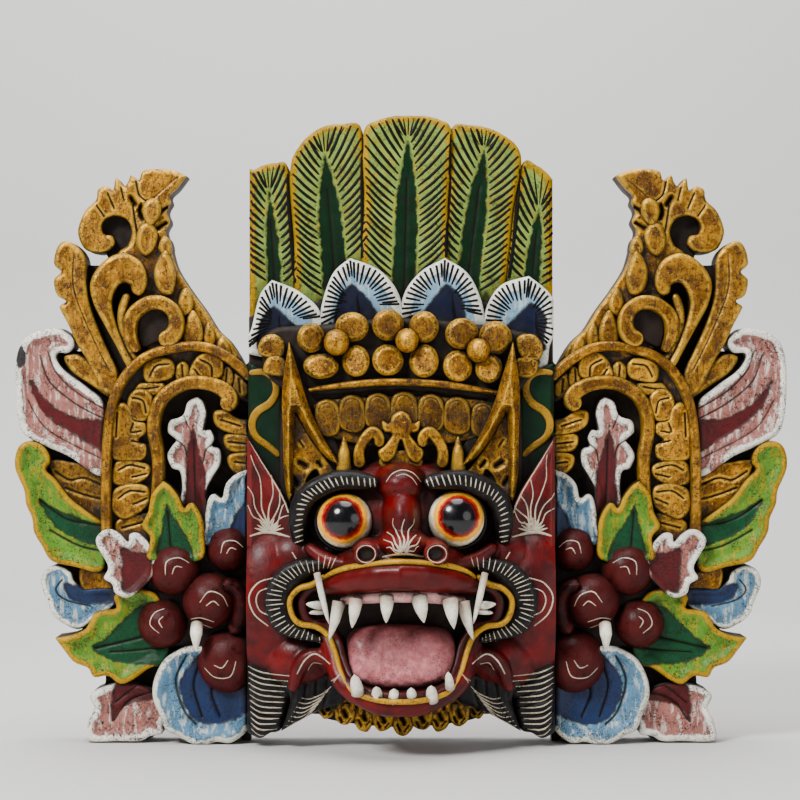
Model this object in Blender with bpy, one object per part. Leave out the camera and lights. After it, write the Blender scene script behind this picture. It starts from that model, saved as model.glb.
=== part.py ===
"""Barong mask: a carved wooden head with a feather crown, and a carved wing on each side.

The head and its crown are one block. The wings are panels that meet the block's flat sides.
Every form is drawn once, on a front drawing of the mask, with the depth of its front surface
above the flat back. Forms that overlap are carved from the same wood, so each piece is joined
into one solid, smoothed, and cut flat at its back, its foot and its seam.
"""
import math

import bpy
import bmesh
from mathutils import Matrix, Vector

# Driving dimensions, in metres.
MASK_HEIGHT = 0.505
MASK_DEPTH = 0.132
WING_BOARD = 0.018
CROWN_BOARD = 0.030
SEAM_GAP = 0.0003

# The front drawing: its axis, ground line, top and horizon, in drawing units.
AXIS = 401
GROUND = 744
TOP = 115
HORIZON = 401
UNIT = MASK_HEIGHT / (GROUND - TOP)
DRAWING_DEPTH = 132
DEPTH_UNIT = MASK_DEPTH / DRAWING_DEPTH

# The drawing is a view from a short way off, so near forms are drawn larger than they are.
VIEW_DISTANCE = 2120 * UNIT
VIEW_PLANE = 35 * DEPTH_UNIT
HALF_BLOCK = 151.6 * UNIT

# How far the forms run past the faces that are cut flat afterwards, in drawing units.
OVERRUN = 8

# The joined wood: grid of the joining, and triangles that each solid keeps.
GRAIN = MASK_HEIGHT / 300
MASK_TRIANGLES = 5200
WING_TRIANGLES = 2150


def place(u, v, depth):
    """The point of a form at (u, v) on the drawing, with its surface at this depth."""
    shrink = 1 - (depth * DEPTH_UNIT - VIEW_PLANE) / VIEW_DISTANCE
    x = (u - AXIS) * UNIT * shrink
    z = (GROUND - HORIZON) * UNIT + (HORIZON - v) * UNIT * shrink
    return Vector((x, -depth * DEPTH_UNIT, z))


def flipped(points):
    """The same drawing points on the other side of the axis."""
    return [(2 * AXIS - u, v) for u, v in points]


def smooth_line(points, steps=3, closed=True):
    """A smooth line through the points. A point given twice is a corner."""
    count = len(points)
    line = []
    spans = count if closed else count - 1
    for i in range(spans):
        p0, p1, p2, p3 = (Vector(points[(i + k) % count if closed
                                        else min(max(i + k, 0), count - 1)])
                          for k in (-1, 0, 1, 2))
        if (p2 - p1).length < 0.01:
            continue
        for s in range(steps):
            t = s / steps
            line.append(0.5 * (2 * p1 + (p2 - p0) * t + (2 * p0 - 5 * p1 + 4 * p2 - p3) * t * t
                               + (3 * p1 - p0 - 3 * p2 + p3) * t ** 3))
    if not closed:
        line.append(Vector(points[-1]))
    return line


def along(values, count):
    """The values, spread evenly over a number of places."""
    spread = []
    for i in range(count):
        t = i / (count - 1) * (len(values) - 1)
        k = min(int(t), len(values) - 2)
        spread.append(values[k] + (values[k + 1] - values[k]) * (t - k))
    return spread


def loft(wood, rings):
    """A closed skin through rings of points, with both ends filled."""
    rows = [[wood.verts.new(p) for p in ring] for ring in rings]
    for row, after in zip(rows, rows[1:]):
        for k in range(len(row)):
            n = (k + 1) % len(row)
            wood.faces.new((row[k], row[n], after[n], after[k]))
    wood.faces.new(rows[0][::-1])
    wood.faces.new(rows[-1])


def leaf(wood, outline, front, rim=4, dish=0, steps=3):
    """A raised form with this outline, a rounded rim and, where it has one, a dished middle."""
    line = smooth_line(outline, steps)
    face = wood.faces.new([wood.verts.new(place(p.x, p.y, front)) for p in line])
    for vert in face.verts:
        vert.co.y = OVERRUN * DEPTH_UNIT
    lifted = bmesh.ops.extrude_face_region(wood, geom=[face])["geom"]
    for vert in [g for g in lifted if isinstance(g, bmesh.types.BMVert)]:
        vert.co.y = -(front - rim * 0.6) * DEPTH_UNIT
    top = [g for g in lifted if isinstance(g, bmesh.types.BMFace)][0]
    top.normal_update()
    out = 1 if top.normal.y < 0 else -1
    bmesh.ops.inset_region(wood, faces=[top], thickness=rim * 0.6 * UNIT,
                           depth=rim * 0.6 * DEPTH_UNIT * out)
    if dish:
        top.normal_update()
        bmesh.ops.inset_region(wood, faces=[top], thickness=rim * 0.9 * UNIT,
                               depth=-dish * DEPTH_UNIT * out)


def band(wood, path, widths, fronts, rise=5, steps=3, back=-OVERRUN):
    """A strip of changing width and height along a path, with a rounded front."""
    line = smooth_line(path, steps, closed=False)
    wide = along(widths, len(line))
    high = along(fronts, len(line))
    rings = []
    for i, p in enumerate(line):
        ahead = line[min(i + 1, len(line) - 1)] - line[max(i - 1, 0)]
        across = Vector((-ahead.y, ahead.x)).normalized() * wide[i] / 2
        ring = []
        for share, drop in ((-1, None), (-1, rise), (-0.7, rise * 0.3), (0, 0), (0.7, rise * 0.3),
                            (1, rise), (1, None)):
            spot = place(p.x + across.x * share, p.y + across.y * share, high[i])
            spot.y = -(back if drop is None else high[i] - drop) * DEPTH_UNIT
            ring.append(spot)
        rings.append(ring)
    loft(wood, rings)


def lump(wood, u, v, wide, tall, front, deep, turn=0):
    """A rounded form: its middle and half sizes on the drawing, its front and half depth."""
    spot = place(u, v, front)
    spot.y += deep * DEPTH_UNIT
    size = Matrix.Diagonal((wide * UNIT, deep * DEPTH_UNIT, tall * UNIT, 1))
    matrix = Matrix.Translation(spot) @ Matrix.Rotation(math.radians(turn), 4, "Y") @ size
    bmesh.ops.create_uvsphere(wood, u_segments=14, v_segments=9, radius=1, matrix=matrix)


def spike(wood, points, radii, sides=7):
    """A round tapering form, such as a tooth, through points (u, v, depth)."""
    line = [place(*p) for p in points]
    rings = []
    for i, p in enumerate(line):
        ahead = (line[min(i + 1, len(line) - 1)] - line[max(i - 1, 0)]).normalized()
        side = ahead.cross(Vector((0, 1, 0))).normalized()
        other = ahead.cross(side)
        turns = [2 * math.pi * k / sides for k in range(sides)]
        rings.append([p + (side * math.cos(a) + other * math.sin(a)) * radii[i] * UNIT
                      for a in turns])
    loft(wood, rings)


def both_sides(build):
    """Builds a form and its mirror image on the other side of the axis."""
    build(lambda points: points)
    build(flipped)


# Crown.
FEATHERS = [
    ([(243, 320), (243, 186), (256, 169), (275, 163), (289, 170), (296, 240), (301, 320)], 34),
    ([(301, 320), (294, 240), (290, 172), (300, 145), (320, 128), (342, 124), (362, 130),
      (367, 200), (368, 300)], 37),
    ([(367, 300), (364, 200), (363, 135), (378, 120), (408, 115), (438, 119), (452, 134),
      (444, 200), (439, 300)], 40),
    ([(438, 300), (447, 200), (450, 132), (471, 125), (500, 133), (521, 156), (513, 210),
      (496, 310)], 37),
    ([(496, 320), (508, 240), (521, 166), (538, 166), (553, 180), (559, 195), (559, 320)], 34),
]
BLUE_ARCHES = [
    [(243, 352), (251, 330), (260, 295), (272, 280), (272, 280), (300, 292), (322, 316), (318, 360)],
    [(316, 360), (320, 313), (332, 275), (350, 258), (350, 258), (382, 272), (402, 304), (400, 360)],
    [(400, 360), (401, 304), (418, 274), (445, 258), (445, 258), (470, 276), (485, 315), (484, 360)],
    [(480, 360), (484, 315), (500, 286), (529, 276), (529, 276), (550, 294), (559, 318), (550, 345),
     (540, 372)],
]
FLOWERS = [
    ((336, 342, 11), [(311, 338, 13, 14), (352, 327, 17, 15), (321, 366, 17, 12), (356, 361, 14, 15)]),
    ((407, 340, 11), [(388, 325, 15, 16), (424, 327, 15, 16), (388, 360, 15, 16), (424, 361, 15, 16)]),
    ((479, 350, 11), [(462, 334, 17, 16), (495, 338, 16, 16), (458, 366, 15, 15), (489, 368, 14, 14)]),
]
CROWN_BAND = [(268, 332), (320, 325), (401, 318), (480, 325), (536, 338), (534, 372), (500, 400),
              (401, 392), (310, 396), (268, 378)]
RIDGE = [(308, 392), (340, 386), (389, 382), (440, 384), (500, 394)]
FRIEZE = [(304, 398), (401, 388), (500, 400), (492, 440), (462, 466), (401, 470), (340, 466), (314, 440)]
SCALLOPS = [(328, 412), (351, 409), (379, 408), (404, 407), (431, 407), (457, 409), (483, 413)]
TREFOIL = [(401, 425, 15, 14), (374, 442, 11, 9), (427, 443, 11, 9), (387, 452, 8, 12), (415, 452, 8, 12)]


def add_crown(wood):
    board = [(243, 480), (243, 190), (262, 172), (290, 178), (330, 140), (401, 128), (470, 140),
             (515, 168), (559, 200), (559, 480)]
    leaf(wood, board, CROWN_BOARD / DEPTH_UNIT, rim=1)
    for outline, front in FEATHERS:
        leaf(wood, outline, front, rim=5)
    for outline in BLUE_ARCHES:
        leaf(wood, outline, 46, rim=4, dish=2)
    leaf(wood, CROWN_BAND, 53, rim=6)
    for middle, petals in FLOWERS:
        for u, v, wide, tall in petals:
            lump(wood, u, v, wide, tall, 65, 14)
        lump(wood, middle[0], middle[1], middle[2], middle[2], 70, 12)
    for u, v in ((272, 345), (277, 362), (531, 345)):
        lump(wood, u, v, 13, 10, 58, 12)


def add_frieze(wood):
    leaf(wood, FRIEZE, 50, rim=4)
    band(wood, RIDGE, [8, 9, 8], [60, 63, 60], rise=3)
    for u, v in SCALLOPS:
        lump(wood, u, v + 6, 13, 17, 58, 10)
    for u, v, wide, tall in TREFOIL:
        lump(wood, u, v, wide, tall, 62, 12)
    for u in (345, 453):
        spike(wood, [(u, 438, 56), (u, 450, 57), (u + 2, 466, 58)], [1, 5, 8])


# Head.
FLAP = [(243, 372), (272, 372), (279, 384), (282, 420), (282, 480), (243, 480)]
EAR = [(246, 436), (246, 436), (262, 462), (284, 497), (295, 533), (282, 548), (243, 548)]
BROW = [(299, 542), (299, 514), (308, 496), (338, 481), (378, 483)]
FRINGE = [(334, 565), (300, 572), (278, 588), (276, 610), (290, 630), (318, 640)]
MOUTH_RING = [(324, 580), (300, 588), (291, 605), (298, 624), (322, 631), (334, 648), (341, 672),
              (354, 692), (378, 700), (401, 702)]
CHEEK_SWIRL = [(292, 690), (300, 664), (316, 655), (332, 662), (338, 684)]
BEARD_OUTER = [(243, 655), (300, 660), (300, 694), (288, 704), (280, 731), (262, 737), (250, 733),
               (243, 700)]
BEARD_INNER = [(290, 676), (345, 676), (345, 700), (316, 714), (281, 731), (281, 731), (288, 700)]
COLLAR_BOARD = [(318, 690), (484, 690), (488, 712), (470, 728), (401, 733), (332, 728), (314, 712)]
UPPER_TEETH = [((357, 600), (354, 627), 6), ((387, 597), (386, 623), 7), ((419, 597), (423, 622), 8),
               ((450, 600), (453, 628), 7)]
LOWER_TEETH = [((357, 690), (356, 677), 6), ((377, 695), (377, 686), 6), ((394, 698), (394, 688), 6),
               ((411, 698), (411, 687), 6), ((431, 695), (431, 686), 6), ((447, 688), (448, 674), 5)]


def add_head_ground(wood):
    """The block behind the face, from the crown down to the collar, stepping back at the beard."""
    leaf(wood, [(243, 440), (559, 440), (559, 690), (500, 705), (401, 715), (300, 705), (243, 690)],
         48, rim=4)
    leaf(wood, [(243, 670), (559, 670), (559, 712), (480, 716), (401, 722), (322, 716), (243, 712)],
         38, rim=4)


def add_sides(wood):
    def build(side):
        leaf(wood, side(FLAP), 48, rim=3)
        band(wood, side([(250, 374), (272, 376), (274, 400), (256, 412), (254, 434), (278, 454)]),
             [7, 7], [51, 51], rise=2)
        leaf(wood, side(EAR), 62, rim=4, dish=4)
        horn = side([(290, 342), (286, 400), (286, 450), (290, 500)])
        band(wood, horn, [3, 11, 13, 11], [74, 74, 70, 64], rise=5)
        crotch = side([(290, 342), (300, 388), (314, 430), (340, 468)])
        band(wood, crotch, [3, 13, 13, 8], [74, 72, 68, 60], rise=5)
        leaf(wood, side([(290, 420), (300, 424), (318, 450), (334, 470), (320, 486), (290, 496)]),
             56, rim=3)
        u, v = side([(268, 604)])[0]
        lump(wood, u, v, 46, 74, 76, 30)
        u, v = side([(296, 560)])[0]
        lump(wood, u, v, 40, 34, 72, 30)
        u, v = side([(300, 660)])[0]
        lump(wood, u, v, 42, 36, 78, 34)
        leaf(wood, side(BEARD_OUTER), 55, rim=5)
        leaf(wood, side(BEARD_INNER), 62, rim=5)
        for k in range(3):
            roots = side([(254 + 13 * k, 672), (254 + 8 * k, 700), (258 + 6 * k, 728)])
            band(wood, roots, [8, 8, 4], [62, 62, 54], rise=4)
        for k in range(3):
            roots = side([(306 + 14 * k, 684), (298 + 12 * k, 702), (286 + 9 * k, 718)])
            band(wood, roots, [8, 8, 4], [68, 67, 60], rise=4)
    both_sides(build)


def add_face(wood):
    """Brow, eyes, nose and cheeks. The sheet's axis runs through the nose."""
    lump(wood, 401, 520, 106, 62, 80, 44)
    lump(wood, 400, 484, 27, 22, 95, 34)
    lump(wood, 402, 522, 24, 44, 103, 50)
    lump(wood, 402, 548, 29, 18, 123, 40)
    lump(wood, 401, 566, 68, 28, 116, 60)

    def build(side):
        u, v = side([(369, 553)])[0]
        lump(wood, u, v, 18, 13, 114, 30)
        u, v = side([(345, 521)])[0]
        lump(wood, u, v, 33, 33, 88, 30)
        lump(wood, u, v, 28, 28, 97, 24)
        band(wood, side(BROW), [16, 21, 20, 15], [68, 80, 86, 88], rise=6)
        band(wood, side(FRINGE), [14, 26, 24, 12], [84, 82, 82, 88], rise=9)
        band(wood, side(CHEEK_SWIRL), [8, 12, 8], [80, 86, 84], rise=5)
    both_sides(build)


def add_mouth(wood):
    """Open jaws: an upper lip and gum, a lower jaw rim, a tongue and pointed teeth."""
    upper_lip = [(318, 588), (346, 580), (401, 576), (456, 580), (484, 588)]
    band(wood, upper_lip, [18, 27, 27, 27, 18], [92, 118, DRAWING_DEPTH, 118, 92], rise=9)
    band(wood, [(342, 598), (372, 595), (401, 594), (430, 595), (462, 599)], [12, 15, 12],
         [94, 116, 94], rise=4)
    jaw = [(322, 631), (332, 652), (344, 684), (376, 704), (401, 707)]
    back_to_front = [84, 96, 108, 117, 120]
    band(wood, jaw + flipped(jaw)[-2::-1], [14, 18, 20, 20, 20, 20, 20, 18, 14],
         back_to_front + back_to_front[-2::-1], rise=8)

    def build(side):
        band(wood, side(MOUTH_RING[:5]), [7, 7], [92, 88, 87, 87, 88], rise=4)
    both_sides(build)
    lump(wood, 400, 664, 55, 32, 106, 44)
    for base, tip, radius in UPPER_TEETH:
        spike(wood, [(*base, 111), (*tip, 112)], [radius, 1])
    for base, tip, radius in LOWER_TEETH:
        spike(wood, [(*base, 110), (*tip, 112)], [radius, 2])
    for side in (-1, 1):
        spike(wood, [(AXIS + side * 63, 602, 98), (AXIS + side * 69, 635, 107)], [5, 1])
        band(wood, [(AXIS + side * 80, 584), (AXIS + side * 75, 614)], [5, 5], [96, 96], rise=2)
        spike(wood, [(AXIS + side * 82, 574, 96), (AXIS + side * 78, 596, 100),
                     (AXIS + side * 73, 622, 99)], [4, 4, 1])


def add_collar(wood):
    leaf(wood, COLLAR_BOARD, 44, rim=3)
    for k in range(9):
        turn = (k - 4) / 4
        lump(wood, AXIS + 78 * turn, 724 - 12 * turn * turn, 12, 12, 52, 12)


# Left wing, on the drawing. The right wing is its mirror image.
WING_GROUND = [(166, 188), (146, 186), (108, 200), (92, 224), (106, 262), (74, 262), (76, 300),
               (94, 345), (62, 345), (36, 352), (28, 382), (44, 430), (30, 450), (36, 500),
               (52, 545), (60, 600), (84, 612), (72, 640), (100, 668), (98, 700), (98, 752),
               (150, 752), (160, 724), (176, 730), (200, 752), (238, 752), (266, 716), (266, 378), (236, 366), (212, 336), (196, 312), (176, 286),
               (168, 250), (162, 215)]
PLUME = [(187, 176), (187, 176), (171, 170), (150, 170), (136, 178), (112, 184), (96, 194),
         (80, 218), (79, 242), (94, 254), (114, 246), (104, 238), (102, 224), (114, 217),
         (128, 222), (126, 248), (116, 292), (130, 350), (250, 386), (247, 368), (232, 344),
         (218, 330), (206, 311), (190, 289), (177, 268), (171, 248), (167, 219), (170, 198)]
WING_BANDS = [
    ([(114, 388), (90, 336), (74, 298), (68, 270), (66, 246)], [14, 17, 20, 24, 12], [34]),
    ([(132, 368), (112, 334), (98, 305), (96, 281), (108, 264), (124, 258), (141, 268), (142, 290)],
     [12, 16, 18, 18, 18, 18, 17, 12], [40]),
    ([(138, 360), (121, 326), (120, 302), (127, 293)], [8, 8], [37]),
    ([(140, 350), (137, 324), (149, 305), (165, 305), (177, 319), (173, 338), (162, 336)],
     [8, 10, 12, 13, 14, 14, 14], [42]),
    ([(104, 535), (104, 464), (108, 415), (118, 384), (141, 358), (173, 347), (204, 346), (228, 357),
      (252, 378)], [9, 10], [42]),
    ([(150, 535), (159, 464), (153, 426), (161, 399), (183, 384), (206, 383), (226, 392), (223, 404)],
     [10, 10, 11], [40]),
]
ARCH_FLOOR = [(104, 530), (104, 464), (108, 415), (118, 384), (141, 358), (173, 347), (204, 346),
              (228, 357), (252, 378), (252, 400), (226, 392), (206, 383), (183, 384), (161, 399),
              (153, 426), (159, 464), (150, 530)]
PLUME_LEAFLETS = [(165, 272, 11, 23, -25), (187, 300, 7, 13, -30), (194, 328, 9, 19, -25),
                  (213, 334, 7, 12, -30), (150, 200, 24, 10, 25), (120, 205, 22, 9, -35),
                  (150, 235, 11, 22, -15)]
ARCH_LOBES = [(160, 371), (185, 368), (210, 364), (228, 376), (139, 392), (124, 414), (134, 436),
              (124, 462), (140, 478), (122, 500), (138, 520)]
SIDE_LOBES = [(237, 424), (238, 448), (234, 466)]
FLAME_LEAF = [(196, 398), (196, 398), (184, 412), (170, 422), (176, 436), (167, 454), (180, 464),
              (183, 482), (180, 515), (202, 515), (206, 490), (217, 470), (221, 453), (212, 446),
              (213, 434), (204, 418)]
PINK_SCROLL = [(74, 338), (60, 328), (34, 333), (20, 346), (15, 376), (19, 424), (34, 441),
               (68, 456), (102, 474), (106, 440), (104, 404), (88, 388), (66, 377), (58, 356),
               (70, 352)]
GREEN_LEAF = [(46, 450), (26, 441), (15, 467), (24, 496), (32, 524), (40, 546), (52, 562), (76, 567),
              (100, 572), (118, 548), (116, 520), (88, 512), (70, 496), (50, 472), (54, 458)]
BLUE_SCROLL = [(60, 565), (44, 572), (42, 586), (51, 604), (63, 622), (80, 628), (98, 618),
               (114, 600), (112, 586), (76, 586), (72, 572)]
SMALL_PINK = [(96, 538), (110, 529), (128, 541), (142, 535), (152, 550), (146, 576), (130, 594),
              (114, 594), (103, 574)]
UPRIGHT_GREEN = [(163, 481), (163, 481), (150, 502), (143, 526), (150, 550), (176, 556), (200, 550),
                 (204, 526), (191, 502), (180, 506), (172, 494)]
UPPER_BLUE = [(205, 540), (206, 510), (214, 495), (230, 480), (250, 470), (266, 468), (266, 545)]
LOWER_GREEN = [(56, 638), (56, 638), (75, 634), (92, 622), (98, 611), (116, 605), (120, 592),
               (141, 590), (158, 600), (168, 630), (160, 662), (140, 677), (120, 684), (94, 677),
               (78, 667), (66, 652)]
BOTTOM_PINK = [(89, 740), (88, 715), (92, 695), (101, 686), (124, 684), (152, 690), (168, 712),
               (162, 732), (146, 741), (118, 750)]
BOTTOM_BLUE = [(192, 646), (176, 651), (164, 661), (154, 685), (154, 702), (161, 718), (170, 734),
               (188, 743), (210, 752), (232, 746), (248, 730), (266, 726), (266, 648), (220, 648)]
PAINTED_LEAVES = [(FLAME_LEAF, 34, 3), (PINK_SCROLL, 32, 4), (GREEN_LEAF, 36, 4),
                  (BLUE_SCROLL, 29, 3), (SMALL_PINK, 37, 3), (UPRIGHT_GREEN, 41, 3),
                  (UPPER_BLUE, 38, 3), (LOWER_GREEN, 36, 4), (BOTTOM_PINK, 33, 3),
                  (BOTTOM_BLUE, 41, 4)]
BERRIES = [(171, 571, 26, 52), (226, 550, 24, 50), (211, 601, 27, 56), (159, 626, 24, 50),
           (228, 661, 30, 54)]


def add_wing(wood):
    leaf(wood, WING_GROUND, WING_BOARD / DEPTH_UNIT, rim=1)
    leaf(wood, PLUME, 29, rim=4)
    leaf(wood, ARCH_FLOOR, 30, rim=2)
    for u, v, wide, tall, turn in PLUME_LEAFLETS:
        lump(wood, u, v, wide, tall, 35, 12, turn)
    for path, widths, fronts in WING_BANDS:
        band(wood, path, widths, fronts * 2, rise=4)
    for u, v in ARCH_LOBES:
        lump(wood, u, v, 14, 12, 35, 12)
    for u, v in SIDE_LOBES:
        lump(wood, u, v, 16, 11, 33, 12)
    lump(wood, 88, 376, 22, 9, 27, 10, 38)
    lump(wood, 92, 580, 18, 9, 26, 10, 0)
    leaf(wood, [(56, 470), (108, 466), (116, 512), (90, 512)], 26, rim=2)
    for outline, front, dish in PAINTED_LEAVES:
        leaf(wood, outline, front, rim=5, dish=dish)
    leaf(wood, [(150, 545), (266, 535), (266, 690), (210, 690), (150, 650)], 30, rim=3)
    for u, v, size, front in BERRIES:
        lump(wood, u, v, size, size, front, 22)
    spike(wood, [(197, 626, 50), (196, 649, 52)], [7, 1])


def evaluated_copy(name, thing):
    """The object's mesh as its modifiers leave it, as a new object."""
    bpy.context.view_layer.update()
    seen = thing.evaluated_get(bpy.context.evaluated_depsgraph_get())
    mesh = bpy.data.meshes.new_from_object(seen)
    bpy.data.objects.remove(thing)
    copy = bpy.data.objects.new(name, mesh)
    bpy.context.collection.objects.link(copy)
    return copy


def box(low, high):
    """A plain box, used to cut the flat faces."""
    wood = bmesh.new()
    bmesh.ops.create_cube(wood, size=1)
    middle = (Vector(low) + Vector(high)) / 2
    span = Vector(high) - Vector(low)
    bmesh.ops.transform(wood, verts=wood.verts,
                        matrix=Matrix.Translation(middle) @ Matrix.Diagonal((*span, 1)))
    mesh = bpy.data.meshes.new("flat_faces")
    wood.to_mesh(mesh)
    wood.free()
    thing = bpy.data.objects.new("flat_faces", mesh)
    bpy.context.collection.objects.link(thing)
    thing.hide_render = True
    thing.display_type = "WIRE"
    return thing


def largest_body(mesh):
    """Drops any chip of wood that the cuts left loose."""
    wood = bmesh.new()
    wood.from_mesh(mesh)
    left = set(wood.verts)
    bodies = []
    while left:
        queue = [left.pop()]
        body = set(queue)
        while queue:
            for edge in queue.pop().link_edges:
                for vert in edge.verts:
                    if vert in left:
                        left.discard(vert)
                        body.add(vert)
                        queue.append(vert)
        bodies.append(body)
    bodies.sort(key=len)
    for body in bodies[:-1]:
        bmesh.ops.delete(wood, geom=list(body), context="VERTS")
    wood.to_mesh(mesh)
    wood.free()


def carve(name, build, triangles, low, high):
    """Joins the forms of one piece into one solid and cuts its flat faces."""
    wood = bmesh.new()
    build(wood)
    bmesh.ops.recalc_face_normals(wood, faces=wood.faces)
    mesh = bpy.data.meshes.new(name)
    wood.to_mesh(mesh)
    wood.free()
    thing = bpy.data.objects.new(name, mesh)
    bpy.context.collection.objects.link(thing)
    join = thing.modifiers.new("join", "REMESH")
    join.mode = "VOXEL"
    join.voxel_size = GRAIN
    soften = thing.modifiers.new("soften", "SMOOTH")
    soften.iterations = 2
    thing = evaluated_copy(name, thing)
    fewer = thing.modifiers.new("fewer", "DECIMATE")
    thing.data.calc_loop_triangles()
    fewer.ratio = triangles / len(thing.data.loop_triangles)
    thing = evaluated_copy(name, thing)
    faces = box(low, high)
    cut = thing.modifiers.new("flat", "BOOLEAN")
    cut.operation = "INTERSECT"
    cut.object = faces
    thing = evaluated_copy(name, thing)
    bpy.data.objects.remove(faces)
    largest_body(thing.data)
    return thing


def mirrored(name, thing):
    """A mirror image of a piece, its faces turned out again."""
    wood = bmesh.new()
    wood.from_mesh(thing.data)
    for vert in wood.verts:
        vert.co.x = -vert.co.x
    bmesh.ops.reverse_faces(wood, faces=wood.faces)
    mesh = bpy.data.meshes.new(name)
    wood.to_mesh(mesh)
    wood.free()
    copy = bpy.data.objects.new(name, mesh)
    bpy.context.collection.objects.link(copy)
    return copy


def paint(thing, colour, roughness, metallic):
    """The piece's own painted finish, with its rounded forms shaded smooth."""
    material = bpy.data.materials.new(thing.name + "_paint")
    material.use_nodes = True
    shader = material.node_tree.nodes["Principled BSDF"]
    shader.inputs["Base Color"].default_value = (*colour, 1)
    shader.inputs["Roughness"].default_value = roughness
    shader.inputs["Metallic"].default_value = metallic
    thing.data.materials.clear()
    thing.data.materials.append(material)
    thing.data.shade_smooth()
    thing.data.set_sharp_from_angle(angle=math.radians(35))


def stand_on_origin(things):
    """Moves the meshes so that the middle of the mask's foot is the origin."""
    spots = [v.co for thing in things for v in thing.data.vertices]
    middle = Vector([(min(p[k] for p in spots) + max(p[k] for p in spots)) / 2 for k in range(3)])
    floor = min(p.z for p in spots)
    for thing in things:
        thing.data.transform(Matrix.Translation((-middle.x, -middle.y, -floor)))


def build_head(wood):
    add_crown(wood)
    add_frieze(wood)
    add_head_ground(wood)
    add_sides(wood)
    add_face(wood)
    add_mouth(wood)
    add_collar(wood)


def main():
    for thing in list(bpy.data.objects):
        bpy.data.objects.remove(thing)
    far = MASK_HEIGHT * 2
    mask = carve("mask", build_head, MASK_TRIANGLES,
                 (-HALF_BLOCK, -far, 0), (HALF_BLOCK, 0, far))
    wing_left = carve("wing_left", add_wing, WING_TRIANGLES,
                      (-far, -far, 0), (-HALF_BLOCK - SEAM_GAP, 0, far))
    wing_right = mirrored("wing_right", wing_left)
    paint(mask, (0.16, 0.010, 0.013), 0.38, 0.0)
    paint(wing_left, (0.30, 0.14, 0.025), 0.42, 0.6)
    paint(wing_right, (0.30, 0.14, 0.025), 0.42, 0.6)
    stand_on_origin([mask, wing_left, wing_right])


main()
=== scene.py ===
"""The look of the barong mask: its carving, paint, gilding and wear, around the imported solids.

Every form is drawn on a front drawing of the mask, with the depth of its surface above the flat
back, and lies where the solids are. Painted lines are fine raised strokes laid on the carving.
"""
import math
import random

import bmesh
import bpy
import numpy as np
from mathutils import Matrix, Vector, noise
from mathutils.bvhtree import BVHTree
from mathutils.geometry import delaunay_2d_cdt


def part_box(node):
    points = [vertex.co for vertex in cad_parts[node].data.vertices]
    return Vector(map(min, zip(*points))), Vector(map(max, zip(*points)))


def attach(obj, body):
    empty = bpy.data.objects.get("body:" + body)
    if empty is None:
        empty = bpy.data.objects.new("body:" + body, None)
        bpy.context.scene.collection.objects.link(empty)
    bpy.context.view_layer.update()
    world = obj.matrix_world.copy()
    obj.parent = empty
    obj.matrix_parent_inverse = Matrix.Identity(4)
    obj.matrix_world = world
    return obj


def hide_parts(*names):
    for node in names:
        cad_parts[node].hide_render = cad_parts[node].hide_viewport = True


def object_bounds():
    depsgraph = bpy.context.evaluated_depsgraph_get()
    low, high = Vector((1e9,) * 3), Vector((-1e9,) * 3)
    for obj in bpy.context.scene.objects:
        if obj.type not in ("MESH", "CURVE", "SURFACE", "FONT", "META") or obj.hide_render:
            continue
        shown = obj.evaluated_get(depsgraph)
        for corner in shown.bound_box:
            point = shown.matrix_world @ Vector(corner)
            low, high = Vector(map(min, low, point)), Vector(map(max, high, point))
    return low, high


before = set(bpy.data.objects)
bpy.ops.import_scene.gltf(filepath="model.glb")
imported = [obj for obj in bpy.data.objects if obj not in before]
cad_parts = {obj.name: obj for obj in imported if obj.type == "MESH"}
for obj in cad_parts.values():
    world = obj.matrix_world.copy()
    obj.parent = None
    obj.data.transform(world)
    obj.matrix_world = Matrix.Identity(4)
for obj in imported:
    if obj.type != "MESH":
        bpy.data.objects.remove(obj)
SOLID_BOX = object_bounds()

# The front drawing, in drawing units, and the depth above the flat back, in depth units.
BLOCK_LOW, BLOCK_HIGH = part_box("mask")
HALF_BLOCK = BLOCK_HIGH.x
BACK = BLOCK_HIGH.y
AXIS = 401
GROUND = 744
HORIZON = 401
UNIT = HALF_BLOCK / 151.6
DEPTH_UNIT = (BLOCK_HIGH.y - BLOCK_LOW.y) / 131.8
VIEW_PLANE = 35
VIEW_DISTANCE = 2120 * UNIT
SEAM_GAP = 0.0003
EYE = Vector((0, BACK - VIEW_PLANE * DEPTH_UNIT - VIEW_DISTANCE, (GROUND - HORIZON) * UNIT))
SPACING = 1.9
CHANCE = random.Random(11)
BOX_MARGIN = 0.00002
BOX_LOW = np.array(SOLID_BOX[0]) + BOX_MARGIN
BOX_HIGH = np.array(SOLID_BOX[1]) - BOX_MARGIN

# The paint reads each point's reach from the rim. These stand for a side wall and a flat back,
# and for the reach from a painted heart where a form has none.
WALL_MARK = -4.0
BACK_MARK = -8.0
NO_HEART = 9.0


def shrink(depth):
    """How much smaller a near form is than it is drawn."""
    return 1 - (np.asarray(depth) - VIEW_PLANE) * DEPTH_UNIT / VIEW_DISTANCE


def place(spots, depth):
    """World points of drawing points whose surface has this depth."""
    spots = np.asarray(spots, float).reshape(-1, 2)
    depth = np.broadcast_to(np.asarray(depth, float), len(spots))
    near = shrink(depth)
    x = (spots[:, 0] - AXIS) * UNIT * near
    z = (GROUND - HORIZON) * UNIT + (HORIZON - spots[:, 1]) * UNIT * near
    return np.column_stack((x, BACK - depth * DEPTH_UNIT, z))


def flipped(points):
    """The same drawing points on the other side of the axis."""
    return [(2 * AXIS - p[0], *p[1:]) for p in points]


def both_sides(build):
    """Builds a form and its mirror image on the other side of the axis."""
    build(lambda points: points)
    build(flipped)


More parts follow.
